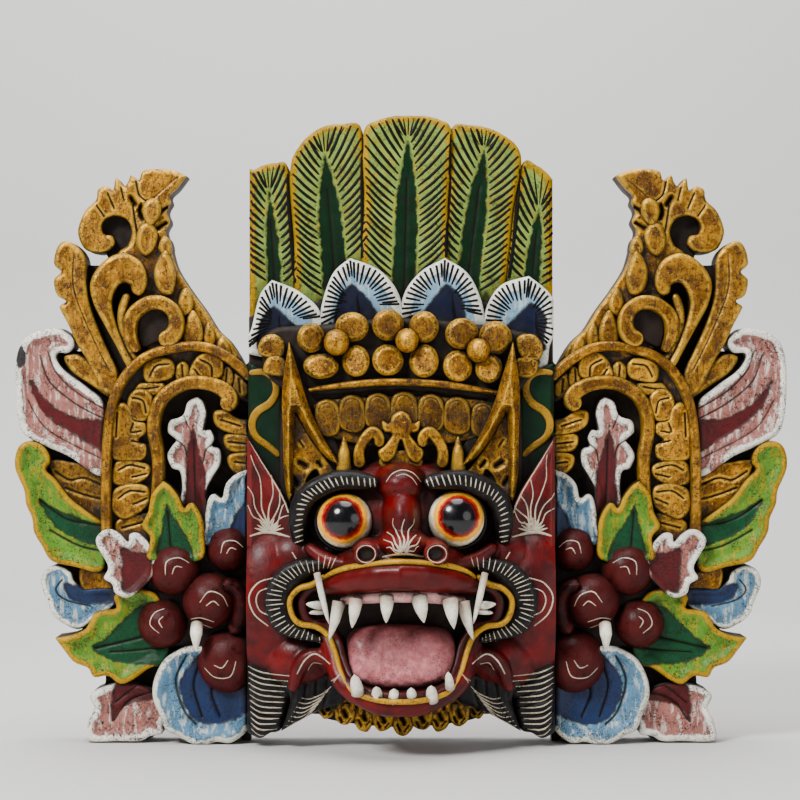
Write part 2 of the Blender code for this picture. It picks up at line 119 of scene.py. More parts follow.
def smooth_line(points, step=2.0, closed=True):
    """A smooth line through the points. A point given twice is a corner."""
    knots = [np.array(p[:2], float) for p in points]
    count = len(knots)
    line = []
    for i in range(count if closed else count - 1):
        p0, p1, p2, p3 = (knots[(i + k) % count if closed else min(max(i + k, 0), count - 1)]
                          for k in (-1, 0, 1, 2))
        span = np.linalg.norm(p2 - p1)
        if span < 0.01:
            continue
        pieces = max(1, round(span / step))
        for t in np.arange(pieces) / pieces:
            line.append(0.5 * (2 * p1 + (p2 - p0) * t + (2 * p0 - 5 * p1 + 4 * p2 - p3) * t * t
                               + (3 * p1 - p0 - 3 * p2 + p3) * t ** 3))
    if not closed:
        line.append(knots[-1])
    return np.array(line)


def cut_line(line, axis, limit, keep_above):
    """The part of a closed line on one side of a straight cut."""
    kept = []
    sign = 1 if keep_above else -1
    for a, b in zip(line, np.roll(line, -1, axis=0)):
        da = (a[axis] - limit) * sign
        db = (b[axis] - limit) * sign
        if da >= 0:
            kept.append(a)
        if (da >= 0) != (db >= 0):
            kept.append(a + (b - a) * da / (da - db))
    line = np.array(kept)
    gaps = np.linalg.norm(line - np.roll(line, 1, axis=0), axis=1)
    return line[gaps > 0.15]


def distance(spots, line, closed=True):
    """Distance of each drawing point from a line."""
    starts = line if closed else line[:-1]
    ends = np.roll(line, -1, axis=0) if closed else line[1:]
    best = np.full(len(spots), 1e9)
    for a, b in zip(starts, ends):
        run = b - a
        t = np.clip((spots - a) @ run / max(run @ run, 1e-9), 0, 1)
        best = np.minimum(best, np.linalg.norm(spots - a - t[:, None] * run, axis=1))
    return best


def inside(spots, line):
    """Which drawing points are inside a closed line."""
    hit = np.zeros(len(spots), bool)
    for a, b in zip(line, np.roll(line, -1, axis=0)):
        if a[1] == b[1]:
            continue
        crosses = (spots[:, 1] < a[1]) != (spots[:, 1] < b[1])
        u = a[0] + (spots[:, 1] - a[1]) * (b[0] - a[0]) / (b[1] - a[1])
        hit ^= crosses & (spots[:, 0] < u)
    return hit


def sideways(run):
    """Unit steps square to the steps of a line."""
    side = np.column_stack((-run[:, 1], run[:, 0]))
    return side / np.maximum(np.linalg.norm(side, axis=1), 1e-9)[:, None]


def ring_points(u, v, wide, tall, count=16):
    """Points round an oval on the drawing."""
    turns = [2 * math.pi * k / count for k in range(count)]
    return [(u + wide * math.cos(a), v + tall * math.sin(a)) for a in turns]


def along(values, shares):
    """Values spread evenly over a length, read at shares of it."""
    return np.interp(shares, np.linspace(0, 1, len(values)), values)


class Carving:
    """Closed forms of one paint: points, faces, and the measures that the paint reads."""

    def __init__(self, side=None):
        self.side = side
        self.points = []
        self.faces = []
        self.measures = []
        self.count = 0

    # A form's tone raises or lowers the brightness of its paint: at random, and on some gold as
    # painted shade or painted light.
    def add(self, points, faces, edge, heart=NO_HEART, groove=0.0, tone=0.0):
        """Adds a closed form, with its faces turned out."""
        fans = [(face[0], face[k], face[k + 1]) for face in faces for k in range(1, len(face) - 1)]
        a, b, c = (points[[fan[k] for fan in fans]] for k in range(3))
        if (a * np.cross(b, c)).sum() < 0:
            faces = [face[::-1] for face in faces]
        points = np.clip(points, BOX_LOW, BOX_HIGH)
        n = len(points)
        self.points.append(points)
        self.faces += [tuple(k + self.count for k in face) for face in faces]
        self.measures.append(np.column_stack([np.broadcast_to(np.asarray(m, float), n)
                                              for m in (edge, heart, groove, tone)]))
        self.count += n

    def mirrored(self):
        """The mirror image, for the other wing."""
        twin = Carving()
        twin.points = [np.concatenate(self.points) * (-1, 1, 1)]
        twin.faces = [face[::-1] for face in self.faces]
        twin.measures = [np.concatenate(self.measures) * (1, 1, 1, -1)]
        twin.count = self.count
        return twin

    def limit(self, line, front):
        """Cuts an outline at the block's sides, at a wing's seam, and at the ground."""
        near = float(shrink(front))
        seam = HALF_BLOCK / UNIT / near
        gap = SEAM_GAP / UNIT
        if self.side == "block":
            line = cut_line(line, 0, AXIS - seam, True)
            line = cut_line(line, 0, AXIS + seam, False)
        if self.side == "wing":
            line = cut_line(line, 0, AXIS - seam - gap, False)
        return cut_line(line, 1, HORIZON + (GROUND - HORIZON) / near - 0.1, False)

    def clamp(self, points):
        """Flattens a rounded form where it meets the seam or the ground."""
        points = points.copy()
        if self.side == "block":
            points[:, 0] = np.clip(points[:, 0], -HALF_BLOCK, HALF_BLOCK)
        if self.side == "wing":
            points[:, 0] = np.minimum(points[:, 0], -HALF_BLOCK - SEAM_GAP)
        points[:, 2] = np.maximum(points[:, 2], 0.0)
        return points


def rounded(radius, rise):
    """A form that rounds over at its rim."""
    def form(reach):
        t = np.clip(reach / radius, 0, 1)
        return rise * (1 - np.sqrt(1 - (1 - t) ** 2))
    return form


def dished(radius, rise, dip, far):
    """A form with a rounded rim and a hollow middle."""
    rim = rounded(radius, rise)

    def form(reach):
        t = np.clip((reach - radius) / (far - radius), 0, 1)
        return rim(reach) + dip * t * t * (3 - 2 * t)
    return form


def roofed(width, rise):
    """A form whose two faces slope up to a ridge."""
    return lambda reach: rise * (1 - np.clip(reach / width, 0, 1)) ** 1.15


def beaded(radius, rise, at, cut):
    """A rounded form with a chiselled line along its rim."""
    rim = rounded(radius, rise)
    return lambda reach: rim(reach) + cut * np.exp(-((reach - at) / 0.9) ** 2)


def hand_wobble(spots, size=0.35):
    """The slight unevenness of hand carving."""
    reach = 11
    return np.array([noise.noise((u / reach, v / reach, 3.7)) for u, v in spots]) * size


def spread_points(line, cuts, spacing):
    """Points for a slab's surface: its outline, two rings inside it, its cuts and a grid."""
    low, high = line.min(0), line.max(0)
    rows = np.arange(low[1], high[1], spacing * 0.866)
    grid = [(u + (k % 2) * spacing / 2, v) for k, v in enumerate(rows)
            for u in np.arange(low[0], high[0], spacing)]
    grid = np.array(grid).reshape(-1, 2)
    grid = grid[inside(grid, line)]
    grid = grid[distance(grid, line) > 2.9]
    inward = sideways(np.roll(line, -1, axis=0) - np.roll(line, 1, axis=0))
    if inside(line + inward * 0.3, line).mean() <= 0.5:
        inward = -inward
    spots = [line]
    for offset in (0.7, 1.8):
        ring = line + inward * offset
        spots.append(ring[inside(ring, line) & (distance(ring, line) > offset * 0.9)])
    for path, width, _ in cuts:
        across = sideways(np.gradient(path, axis=0))
        rows = np.concatenate([path + across * width * k for k in (-1.1, 0, 1.1)])
        rows = rows[inside(rows, line)]
        rows = rows[distance(rows, line) > 1.2]
        if len(rows):
            spots.append(rows)
            grid = grid[distance(grid, path, closed=False) > width * 1.1 + 0.9]
    return np.concatenate(spots + [grid])


def rim_loop(triangles):
    """The points round the rim of a sheet of triangles, in order."""
    sides = dict.fromkeys(pair for a, b, c in triangles for pair in ((a, b), (b, c), (c, a)))
    ahead = {a: b for a, b in sides if (b, a) not in sides}
    loop = [next(iter(ahead))]
    while ahead[loop[-1]] != loop[0] and len(loop) <= len(ahead):
        loop.append(ahead[loop[-1]])
    return loop


def slab(carving, outline, front, form, base=0.0, heart=None, grooves=(), tone=0.0,
         spacing=SPACING, lean=(0, 0), open_end=None, heart_cut=1.3):
    """A raised form with this outline. A groove is a path with its width and depth.

    An open end is a place (u, v) and a reach within which the outline isn't painted as an edge.
    """
    line = carving.limit(smooth_line(outline, 1.9), front)
    middle = (line.min(0) + line.max(0)) / 2
    cuts = [(smooth_line(path, 2, closed=False), width, cut) for path, width, cut in grooves]
    edges = [(k, (k + 1) % len(line)) for k in range(len(line))]
    found = delaunay_2d_cdt([Vector(p) for p in spread_points(line, cuts, spacing)],
                            edges, [], 1, 1e-5)
    spots = np.array([tuple(p) for p in found[0]])
    faces = [tuple(t) for t in found[2]]
    reach = paint_reach = distance(spots, line)
    if open_end:
        ends = np.linalg.norm(line - np.array(open_end[:2]), axis=1) > open_end[2]
        closed = [line[k:k + 2] for k in range(len(line) - 1) if ends[k] and ends[k + 1]]
        paint_reach = np.min([distance(spots, part, closed=False) for part in closed], axis=0)
    depth = front - form(reach) + (spots - middle) @ np.array(lean)
    depth += hand_wobble(spots) * np.clip(reach / 3, 0, 1)
    groove = np.zeros(len(spots))
    for path, width, cut in cuts:
        trace = np.exp(-(distance(spots, path, closed=False) / width) ** 2)
        depth -= cut * trace
        groove = np.maximum(groove, trace * min(1, cut / 1.2))
    heart_reach = np.full(len(spots), NO_HEART)
    if heart:
        edge_of_heart = smooth_line(heart, 3)
        sign = np.where(inside(spots, edge_of_heart), -1, 1)
        heart_reach = distance(spots, edge_of_heart) * sign
        depth -= heart_cut * np.clip(0.5 - heart_reach / 3, 0, 1)
    loop = rim_loop(faces)
    top = place(spots, depth)
    shoulder = top[loop] + (0, 1.6 * DEPTH_UNIT, 0)
    foot = top[loop].copy()
    foot[:, 1] = BACK - base * DEPTH_UNIT
    n, m = len(top), len(loop)
    for k in range(m):
        j = (k + 1) % m
        faces.append((loop[j], loop[k], n + k, n + j))
        faces.append((n + j, n + k, n + m + k, n + m + j))
    faces.append(tuple(n + m + k for k in range(m))[::-1])
    carving.add(np.concatenate((top, shoulder, foot)), faces,
                np.concatenate((paint_reach, np.repeat((WALL_MARK, BACK_MARK), m))),
                np.concatenate((heart_reach, np.full(2 * m, NO_HEART))),
                np.concatenate((groove, np.zeros(2 * m))), tone)


def tube_faces(count, size, closed=False):
    """Faces round a row of rings, with a cap at each end unless the row closes on itself."""
    faces = []
    for k in range(count if closed else count - 1):
        j = (k + 1) % count
        for i in range(size):
            n = (i + 1) % size
            faces.append((k * size + i, k * size + n, j * size + n, j * size + i))
    if not closed:
        faces.append(tuple(range(size))[::-1])
        faces.append(tuple((count - 1) * size + i for i in range(size)))
    return faces


def ribbon(carving, path, widths, fronts, form, base=0.0, tone=0.0, across=9, closed=False,
           step=2.0):
    """A strip of changing width and height along a path, with rounded ends."""
    line = smooth_line(path, step, closed)
    if closed:
        shares = np.linspace(0, 1, len(line))
        half = along(widths, shares) / 2
        ahead = np.roll(line, -1, axis=0) - np.roll(line, 1, axis=0)
    else:
        passed = np.cumsum(np.linalg.norm(np.diff(line, axis=0), axis=1))
        passed = np.concatenate(([0], passed))
        total = passed[-1]
        first, last = widths[0] / 2, widths[-1] / 2
        close = np.array([0.0, 0.06, 0.2, 0.45, 0.75])
        at = np.concatenate((first * close, np.arange(first, total - last, step),
                             total - last * close[::-1]))
        line = np.column_stack([np.interp(at, passed, line[:, k]) for k in (0, 1)])
        shares = at / total
        half = along(widths, shares) / 2
        for reach, size in ((at, first), (total - at, last)):
            near = reach < size
            half[near] *= np.sqrt(np.clip(1 - (1 - reach[near] / size) ** 2, 0.0004, 1))
        ahead = np.gradient(line, axis=0)
    spread = np.sin(np.linspace(-math.pi / 2, math.pi / 2, across))
    rings = []
    reaches = []
    for spot, side, size, front in zip(line, sideways(ahead), half, along(fronts, shares)):
        spots = spot + side * (spread * size)[:, None]
        reach = (1 - abs(spread)) * size
        top = place(spots, front - form(reach) + hand_wobble(spots, 0.25))
        low = top[[-1, 0]].copy()
        low[:, 1] = BACK - base * DEPTH_UNIT
        rings.append(np.concatenate((top, low)))
        reaches.append(np.concatenate((reach, (WALL_MARK, WALL_MARK))))
    faces = tube_faces(len(rings), across + 2, closed)
    carving.add(carving.clamp(np.concatenate(rings)), faces, np.concatenate(reaches), tone=tone)


def unit_ball(cuts):
    """The points and faces of a ball of radius 1."""
    ball = bmesh.new()
    bmesh.ops.create_icosphere(ball, subdivisions=cuts, radius=1)
    points = np.array([tuple(v.co) for v in ball.verts])
    faces = [tuple(v.index for v in f.verts) for f in ball.faces]
    ball.free()
    return points, faces


BALLS = {cuts: unit_ball(cuts) for cuts in (4, 5)}


def lump(carving, u, v, wide, tall, front, deep, cuts=4, tone=0.0):
    """A rounded form: its middle and half sizes on the drawing, its front and half depth."""
    points, faces = BALLS[cuts]
    body = points * (wide * UNIT, deep * DEPTH_UNIT, tall * UNIT)
    middle = place([(u, v)], front)[0] + (0, deep * DEPTH_UNIT, 0)
    reach = np.linalg.norm(points[:, [0, 2]], axis=1) * (wide + tall) / 2
    carving.add(carving.clamp(body + middle), faces, reach, tone=tone)


def spike(carving, points, radii):
    """A round tapering form, such as a tooth, through points (u, v, depth)."""
    sides, steps = 14, 5
    knots = np.array([place([p[:2]], p[2])[0] for p in points])
    shares = np.linspace(0, 1, (len(knots) - 1) * steps + 1)
    line = np.column_stack([along(knots[:, k], shares) for k in range(3)])
    for _ in range(2):
        line[1:-1] = (line[:-2] + 2 * line[1:-1] + line[2:]) / 4
    size = along(radii, shares) * UNIT
    tip = np.minimum(1, (1 - shares) * (len(line) - 1) / 2.2)
    size *= np.sqrt(1 - (1 - tip) ** 2 * 0.98)
    turns = np.linspace(0, 2 * math.pi, sides, endpoint=False)
    rings = []
    for k in range(len(line)):
        ahead = line[min(k + 1, len(line) - 1)] - line[max(k - 1, 0)]
        ahead /= np.linalg.norm(ahead)
        side = np.cross(ahead, (0, 1, 0))
        side /= np.linalg.norm(side)
        rings.append(line[k] + size[k] * (np.outer(np.cos(turns), side)
                                          + np.outer(np.sin(turns), np.cross(ahead, side))))
    carving.add(np.concatenate(rings), tube_faces(len(rings), sides),
                np.repeat(shares, sides) * 10)


# Crown. Each feather: its outline and front, the tip and base of its dark heart, and its width.
FEATHERS = [
    ([(243, 330), (243, 186), (256, 169), (275, 163), (289, 170), (296, 240), (301, 330)], 34,
     (269, 192), (276, 300), 13),
    ([(301, 330), (294, 240), (290, 172), (300, 145), (320, 128), (342, 124), (362, 130),
      (367, 200), (368, 310)], 37, (325, 156), (336, 290), 24),
    ([(367, 310), (364, 200), (363, 135), (378, 120), (408, 115), (438, 119), (452, 134),
      (448, 200), (441, 310)], 40, (408, 140), (404, 300), 23),
    ([(438, 310), (447, 200), (450, 132), (471, 125), (500, 133), (521, 156), (513, 210),
      (496, 320)], 37, (484, 150), (466, 295), 22),
    ([(496, 330), (508, 240), (521, 166), (538, 166), (553, 180), (559, 195), (559, 330)], 34,
     (539, 209), (530, 300), 15),
]
# Each arch: its outline, and the tip and base of its dark heart.
ARCHES = [
    ([(243, 352), (251, 330), (260, 295), (272, 280), (272, 280), (300, 292), (322, 316),
      (318, 360)], (272, 280), (282, 345)),
    ([(316, 360), (320, 313), (332, 275), (350, 258), (350, 258), (382, 272), (402, 304),
      (400, 360)], (350, 258), (358, 330)),
    ([(400, 360), (401, 304), (418, 274), (445, 258), (445, 258), (470, 276), (485, 315),
      (484, 360)], (445, 258), (442, 330)),
    ([(480, 360), (484, 315), (500, 286), (529, 276), (529, 276), (550, 294), (559, 318),
      (550, 345), (540, 372)], (529, 276), (520, 345)),
]
# Each flower: its button and petals, with their middles and half sizes.
FLOWERS = [
    ((336, 342, 12.5), [(311, 338, 14, 15), (352, 327, 17, 15), (321, 366, 18, 13),
                        (356, 361, 14, 16)]),
    ((407, 340, 11.5), [(388, 325, 16, 16), (424, 327, 15, 16), (388, 360, 16, 16),
                        (424, 361, 15, 17)]),
    ((479, 350, 11.5), [(462, 334, 17, 16), (495, 338, 17, 17), (458, 366, 15, 16),
                        (489, 368, 14, 15)]),
]
CROWN_BAND = [(268, 332), (320, 325), (401, 318), (480, 325), (536, 338), (534, 372), (500, 400),
              (401, 392), (310, 396), (268, 378)]
RIDGE = [(308, 390), (345, 385), (389, 382), (440, 384), (500, 393)]
FRIEZE = [(304, 394), (345, 388), (401, 385), (455, 388), (500, 396), (492, 440), (480, 470),
          (401, 476), (322, 470), (314, 440)]
SCALLOPS = [(327, 412, 13), (352, 408, 13.5), (378, 406, 13.5), (404, 405, 14), (431, 407, 13.5),
            (457, 410, 13.5), (483, 414, 12)]


def add_feathers(work):
    """Five feathers, each with a dark heart along its quill."""
    shape = [(0.22, 0.3), (0.45, 0.46), (0.8, 0.5), (1.0, 0.46)]
    for outline, front, tip, base, wide in FEATHERS:
        run = np.array(base) - tip
        side = np.array((-run[1], run[0])) / np.linalg.norm(run)
        heart = [tip, tip]
        heart += [tuple(tip + run * share + side * width * wide) for share, width in shape]
        heart += [tuple(tip + run * share - side * width * wide) for share, width in shape[::-1]]
        quill = [tuple(tip + run * 0.25), tuple(tip + run)]
        slab(work["feathers"], outline, front, rounded(5, 3.2), base=0.5, heart=heart,
             heart_cut=0.6, grooves=[(quill, 1.3, 1.2)], tone=CHANCE.uniform(-0.5, 0.5))


def add_arches(work):
    """Pointed blue arches in front of the feathers."""
    for outline, tip, base in ARCHES:
        u, v = tip
        bu, bv = base
        heart = [(u + 2, v + 26), (u + 2, v + 26), (u - 10, v + 38), (bu - 24, bv - 6),
                 (bu - 20, bv + 6), (bu + 22, bv + 6), (bu + 24, bv - 6), (u + 17, v + 40)]
        slab(work["blue_leaves"], outline, 46, dished(4, 2.6, 2.2, 24), base=20, heart=heart,
             tone=CHANCE.uniform(-0.5, 0.5))


def add_flowers(work):
    """Three gold flowers on a dark band, with two lobes at each end of it."""
    gold = work["gold"]
    slab(work["dark_ground"], CROWN_BAND, 51, rounded(5, 5), base=20)
    for (u, v, size), petals in FLOWERS:
        for pu, pv, wide, tall in petals:
            toward = np.array((u - pu, v - pv))
            toward = toward / np.linalg.norm(toward)
            # Lower petals get a lighter tone and upper petals a darker one: painted light below,
            # painted shade above.
            slab(gold, ring_points(pu, pv, wide, tall, 12), 63, beaded(7, 6, 2.6, 0.8), base=45,
                 lean=tuple(toward * -0.16), tone=1.6 if pv > 350 else -1.0, spacing=1.6)
        lump(gold, u, v, size, size * 1.05, 73, 12, tone=1.6)
    for outline in ([(258, 352), (262, 338), (274, 334), (284, 342), (284, 356), (270, 358)],
                    [(264, 372), (268, 357), (280, 355), (288, 366), (284, 376)],
                    [(516, 340), (524, 334), (536, 336), (543, 348), (538, 360), (520, 356)],
                    [(514, 362), (526, 356), (538, 362), (534, 376), (518, 376)]):
        slab(gold, outline, 57, beaded(4, 3.5, 3, 0.5), base=30, tone=-0.9)


def add_frieze(work):
    """The gold forehead band: a pierced plate, scallops, a crest, curls and two points."""
    gold = work["gold"]
    slab(work["dark_ground"], FRIEZE, 49, rounded(4, 2), base=20)
    ribbon(gold, RIDGE, [4, 7, 7, 7, 4], [60, 63, 64, 63, 60], rounded(3, 2.4), base=40)
    # The plate's darker tone is painted shade on gold that lies back behind the ridge and scallops.
    slab(gold, [(314, 404), (345, 398), (401, 396), (458, 398), (496, 404), (490, 428),
                (462, 442), (401, 448), (345, 442), (320, 428)], 53, rounded(3, 2), base=40,
         tone=-1.3, grooves=[(path, 2.2, 5) for path in (
             [(351, 421), (352, 428)], [(363, 414), (364, 424)],
             [(437, 414), (437, 424)], [(447, 416), (448, 428)])])
    # The scallops' dark tone is painted shade under the ridge.
    for u, v, size in SCALLOPS:
        outline = [(u - size, v + 1), (u - size * 0.75, v - size * 0.7), (u, v - size),
                   (u + size * 0.75, v - size * 0.7), (u + size, v + 1), (u + size, v + 18),
                   (u + size * 0.4, v + 25), (u - size * 0.5, v + 23), (u - size, v + 16)]
        cut = [(u - size * 0.62, v - 1), (u - size * 0.45, v - size * 0.5), (u, v - size * 0.7),
               (u + size * 0.45, v - size * 0.5), (u + size * 0.62, v - 1)]
        slab(gold, outline, 57, rounded(3, 2.4), base=40, tone=CHANCE.uniform(-3.6, -2.6),
             spacing=1.6, grooves=[(cut, 0.8, 0.6)])
    crest = [(401, 411), (409, 415), (413, 423), (420, 421), (418, 431), (410, 434), (417, 444),
             (424, 452), (418, 463), (408, 458), (401, 440), (394, 458), (384, 463), (378, 452),
             (386, 444), (392, 434), (384, 431), (382, 421), (389, 423), (393, 415)]
    slab(gold, crest, 62, rounded(3, 2.6), base=40, tone=0.7, spacing=1.6)
    slab(gold, [(385, 452), (417, 452), (420, 468), (382, 468)], 59, rounded(3, 2), base=40,
         tone=0.3)

    def build(side):
        curl = side([(360, 468), (359, 452), (364, 440), (372, 432), (379, 437), (379, 447)])
        ribbon(gold, curl, [12, 11, 10, 11, 11, 9], [62], rounded(3, 2.4), base=40, tone=0.2,
               step=1.5)
        spike(gold, side([(344, 470, 57), (344, 452, 59), (344, 436, 57)]), [8, 5.5, 0.8])
    both_sides(build)


# Head.
FLAP = [(243, 370), (266, 370), (276, 376), (282, 392), (284, 430), (286, 482), (270, 482),
        (243, 450)]
EAR = [(246, 435), (246, 435), (262, 461), (284, 496), (296, 533), (284, 549), (243, 549)]
BROW = [(299, 545), (298, 520), (304, 500), (318, 488), (342, 480), (378, 483)]
FRINGE = [(336, 563), (304, 569), (284, 583), (277, 604), (287, 626), (322, 641)]
MOUTH_LINE = [(325, 577), (312, 585), (299, 589), (290, 600), (292, 615), (300, 624), (316, 627),
              (328, 636), (335, 652), (341, 673), (352, 691), (376, 700), (401, 702)]
BEARD_OUTER = [(243, 655), (300, 660), (300, 692), (290, 700), (282, 728), (270, 733), (260, 738),
               (249, 733), (243, 725)]
BEARD_INNER = [(284, 678), (345, 672), (345, 700), (318, 711), (281, 731), (281, 731), (290, 700)]


def add_sides(work):
    """On each side: a green flap with a yellow line, an ear, a gold horn and its pierced lace."""
    horn = [(289, 342), (289, 342), (295, 362), (301, 381), (308, 404), (318, 428), (330, 449),
            (342, 468), (342, 468), (326, 457), (311, 438), (301, 421), (295, 412), (294, 430),
            (293, 460), (293, 496), (288, 498), (284, 470), (283, 432), (282, 400), (283, 381),
            (286, 360)]
    lace = [(291, 412), (300, 418), (312, 440), (330, 464), (336, 474), (322, 480), (316, 470),
            (308, 478), (304, 490), (296, 500), (290, 498)]
    holes = [([(300, 462), (306, 466)], 3.0, 5.0), ([(318, 462), (321, 466)], 2.0, 4.0),
             ([(294, 478), (297, 484)], 2.4, 4.0), ([(299, 440), (303, 446)], 1.2, 1.5)]

    def build(side):
        slab(work["flaps"], side(FLAP), 48, rounded(4, 3), base=10)
        ribbon(work["yellow"], side([(249, 373), (264, 372), (274, 379), (276, 392), (270, 403),
                                     (257, 412), (252, 424), (256, 437), (268, 446), (280, 456)]),
               [5, 7, 7, 8, 8, 7, 7, 6], [49.5], rounded(3, 1), base=40, tone=-1.6)
        slab(work["skin"], side(EAR), 62, dished(4, 3, 3, 14), base=10)
        slab(work["gold"], side(horn), 72, roofed(8, 9), base=20, tone=0.5, spacing=1.6,
             lean=(0, -0.05))
        slab(work["gold"], side(lace), 58, rounded(3, 2), base=20, tone=0.2,
             grooves=[(side(hole), width, cut) for hole, width, cut in holes])
        slab(work["dark_ground"],
             side([(284, 384), (316, 400), (346, 470), (330, 494), (284, 520)]), 52,
             rounded(3, 2), base=10)
    both_sides(build)


# Each lump of the skin: its middle and half sizes on the drawing, its front and half depth.
FACE_LUMPS = [(401, 520, 106, 62, 80, 44), (400, 485, 26, 21, 95, 34), (402, 522, 23, 44, 103, 50),
              (403, 548, 27, 16, 123, 40), (401, 566, 68, 27, 115, 60)]
CHEEK_LUMPS = [(369, 553, 17, 13, 111, 30), (345, 521, 33, 33, 86, 30),
               (268, 604, 46, 74, 76, 30), (296, 560, 40, 34, 72, 30), (300, 660, 42, 34, 78, 34)]


def add_skin():
    """The maroon face: block, cheeks, brow, snout and lower jaw, before it is joined."""
    skin = Carving()
    slab(skin, [(240, 520), (300, 470), (502, 470), (562, 520), (562, 640), (545, 690),
                (500, 705), (401, 715), (302, 705), (257, 690), (240, 640)], 48, rounded(4, 3))
    for form in FACE_LUMPS:
        lump(skin, *form)
    jaw = [(322, 631), (332, 652), (344, 684), (376, 704), (401, 707)]
    heights = [84, 96, 108, 117, 120]
    ribbon(skin, jaw + flipped(jaw)[-2::-1], [14, 18, 20, 20, 20, 20, 20, 18, 14],
           heights + heights[-2::-1], rounded(8, 7), base=10)

    def build(side):
        for u, v, *form in CHEEK_LUMPS:
            lump(skin, *side([(u, v)])[0], *form)
        ribbon(skin, side([(292, 692), (299, 668), (312, 656), (328, 660), (338, 684)]),
               [10, 16, 16, 12], [78, 85, 86, 82], rounded(7, 6), base=20)
        ribbon(skin, side([(306, 545), (326, 560), (350, 566)]), [10, 16, 12], [78, 86, 92],
               rounded(7, 5), base=40)
    both_sides(build)
    return skin


# Each eye: its middle and size on the drawing, and its pupil.
EYES = [(344, 522, 27.5, (342, 519)), (457, 520, 28, (459, 517))]


def add_eyes(work):
    """Bulging eyes. Their paint reads each point's reach from the pupil as its edge measure."""
    eyes = work["eyes"]
    for u, v, size, pupil in EYES:
        ribbon(work["black"], ring_points(u, v, size + 0.6, size + 0.6, 20), [3.4], [79],
               rounded(2, 1.6), base=50, closed=True)
        lump(eyes, u, v, size, size, 97, 24, cuts=5, tone=2.0)
        points = eyes.points[-1]
        centre = place([pupil], 96)[0]
        reach = np.linalg.norm((points - centre)[:, [0, 2]], axis=1) / UNIT
        behind = points[:, 1] > centre[1] + 0.022
        reach[behind] = 40
        eyes.measures[-1][:, 0] = reach


def add_brows(work):
    """Black brows, the hair round the cheeks, and two beard locks on each side."""
    black = work["black"]
    outer = [[(240, 668 + 13 * k), (262, 676 + 13 * k), (290, 690 + 10 * k)] for k in range(5)]
    inner = [[(294 + 11 * k, 680), (292 + 11 * k, 700), (280 + 12 * k, 722)] for k in range(4)]

    def build(side):
        ribbon(black, side(BROW), [11, 19, 21, 21, 20, 18, 12], [72, 80, 85, 88, 90, 91],
               rounded(8, 6), base=30, across=13)
        ribbon(black, side(FRINGE), [8, 16, 25, 26, 24, 14, 6], [86, 83, 82, 82, 85, 90],
               rounded(7, 5), base=30, across=13)
        for outline, front, form, cuts in ((BEARD_OUTER, 58, rounded(9, 7), outer),
                                           (BEARD_INNER, 66, rounded(8, 6), inner)):
            slab(black, side(outline), front, form, base=5, lean=(0, -0.06),
                 grooves=[(side(cut), 1.6, 1.6) for cut in cuts])
    both_sides(build)


# Each tooth: its root and tip, its radius and, above, its depth; at the sides, its whole line.
UPPER_TEETH = [((356, 600), (352, 628), 7.0, 113), ((387, 597), (386, 623), 7.5, 116),
               ((419, 597), (424, 623), 8.5, 116), ((450, 600), (454, 629), 8.0, 113)]
LOWER_TEETH = [((358, 693), (354, 675), 6.8), ((378, 700), (376, 687), 6.4),
               ((394, 704), (394, 689), 7.2), ((412, 703), (411, 688), 6.6),
               ((432, 700), (431, 686), 6.6), ((450, 688), (448, 672), 4.8)]
SIDE_TEETH = [([(339, 602, 101), (335, 620, 104), (329, 640, 103)], [6.5, 5, 1]),
              ([(317, 573, 97), (322, 596, 102), (329, 624, 103)], [3.4, 3.2, 1.6]),
              ([(324, 606, 86), (315, 605, 92), (306, 604, 93)], [5, 4, 1.4]),
              ([(324, 611, 86), (316, 612, 90), (309, 613, 91)], [3.4, 2.8, 1.2])]


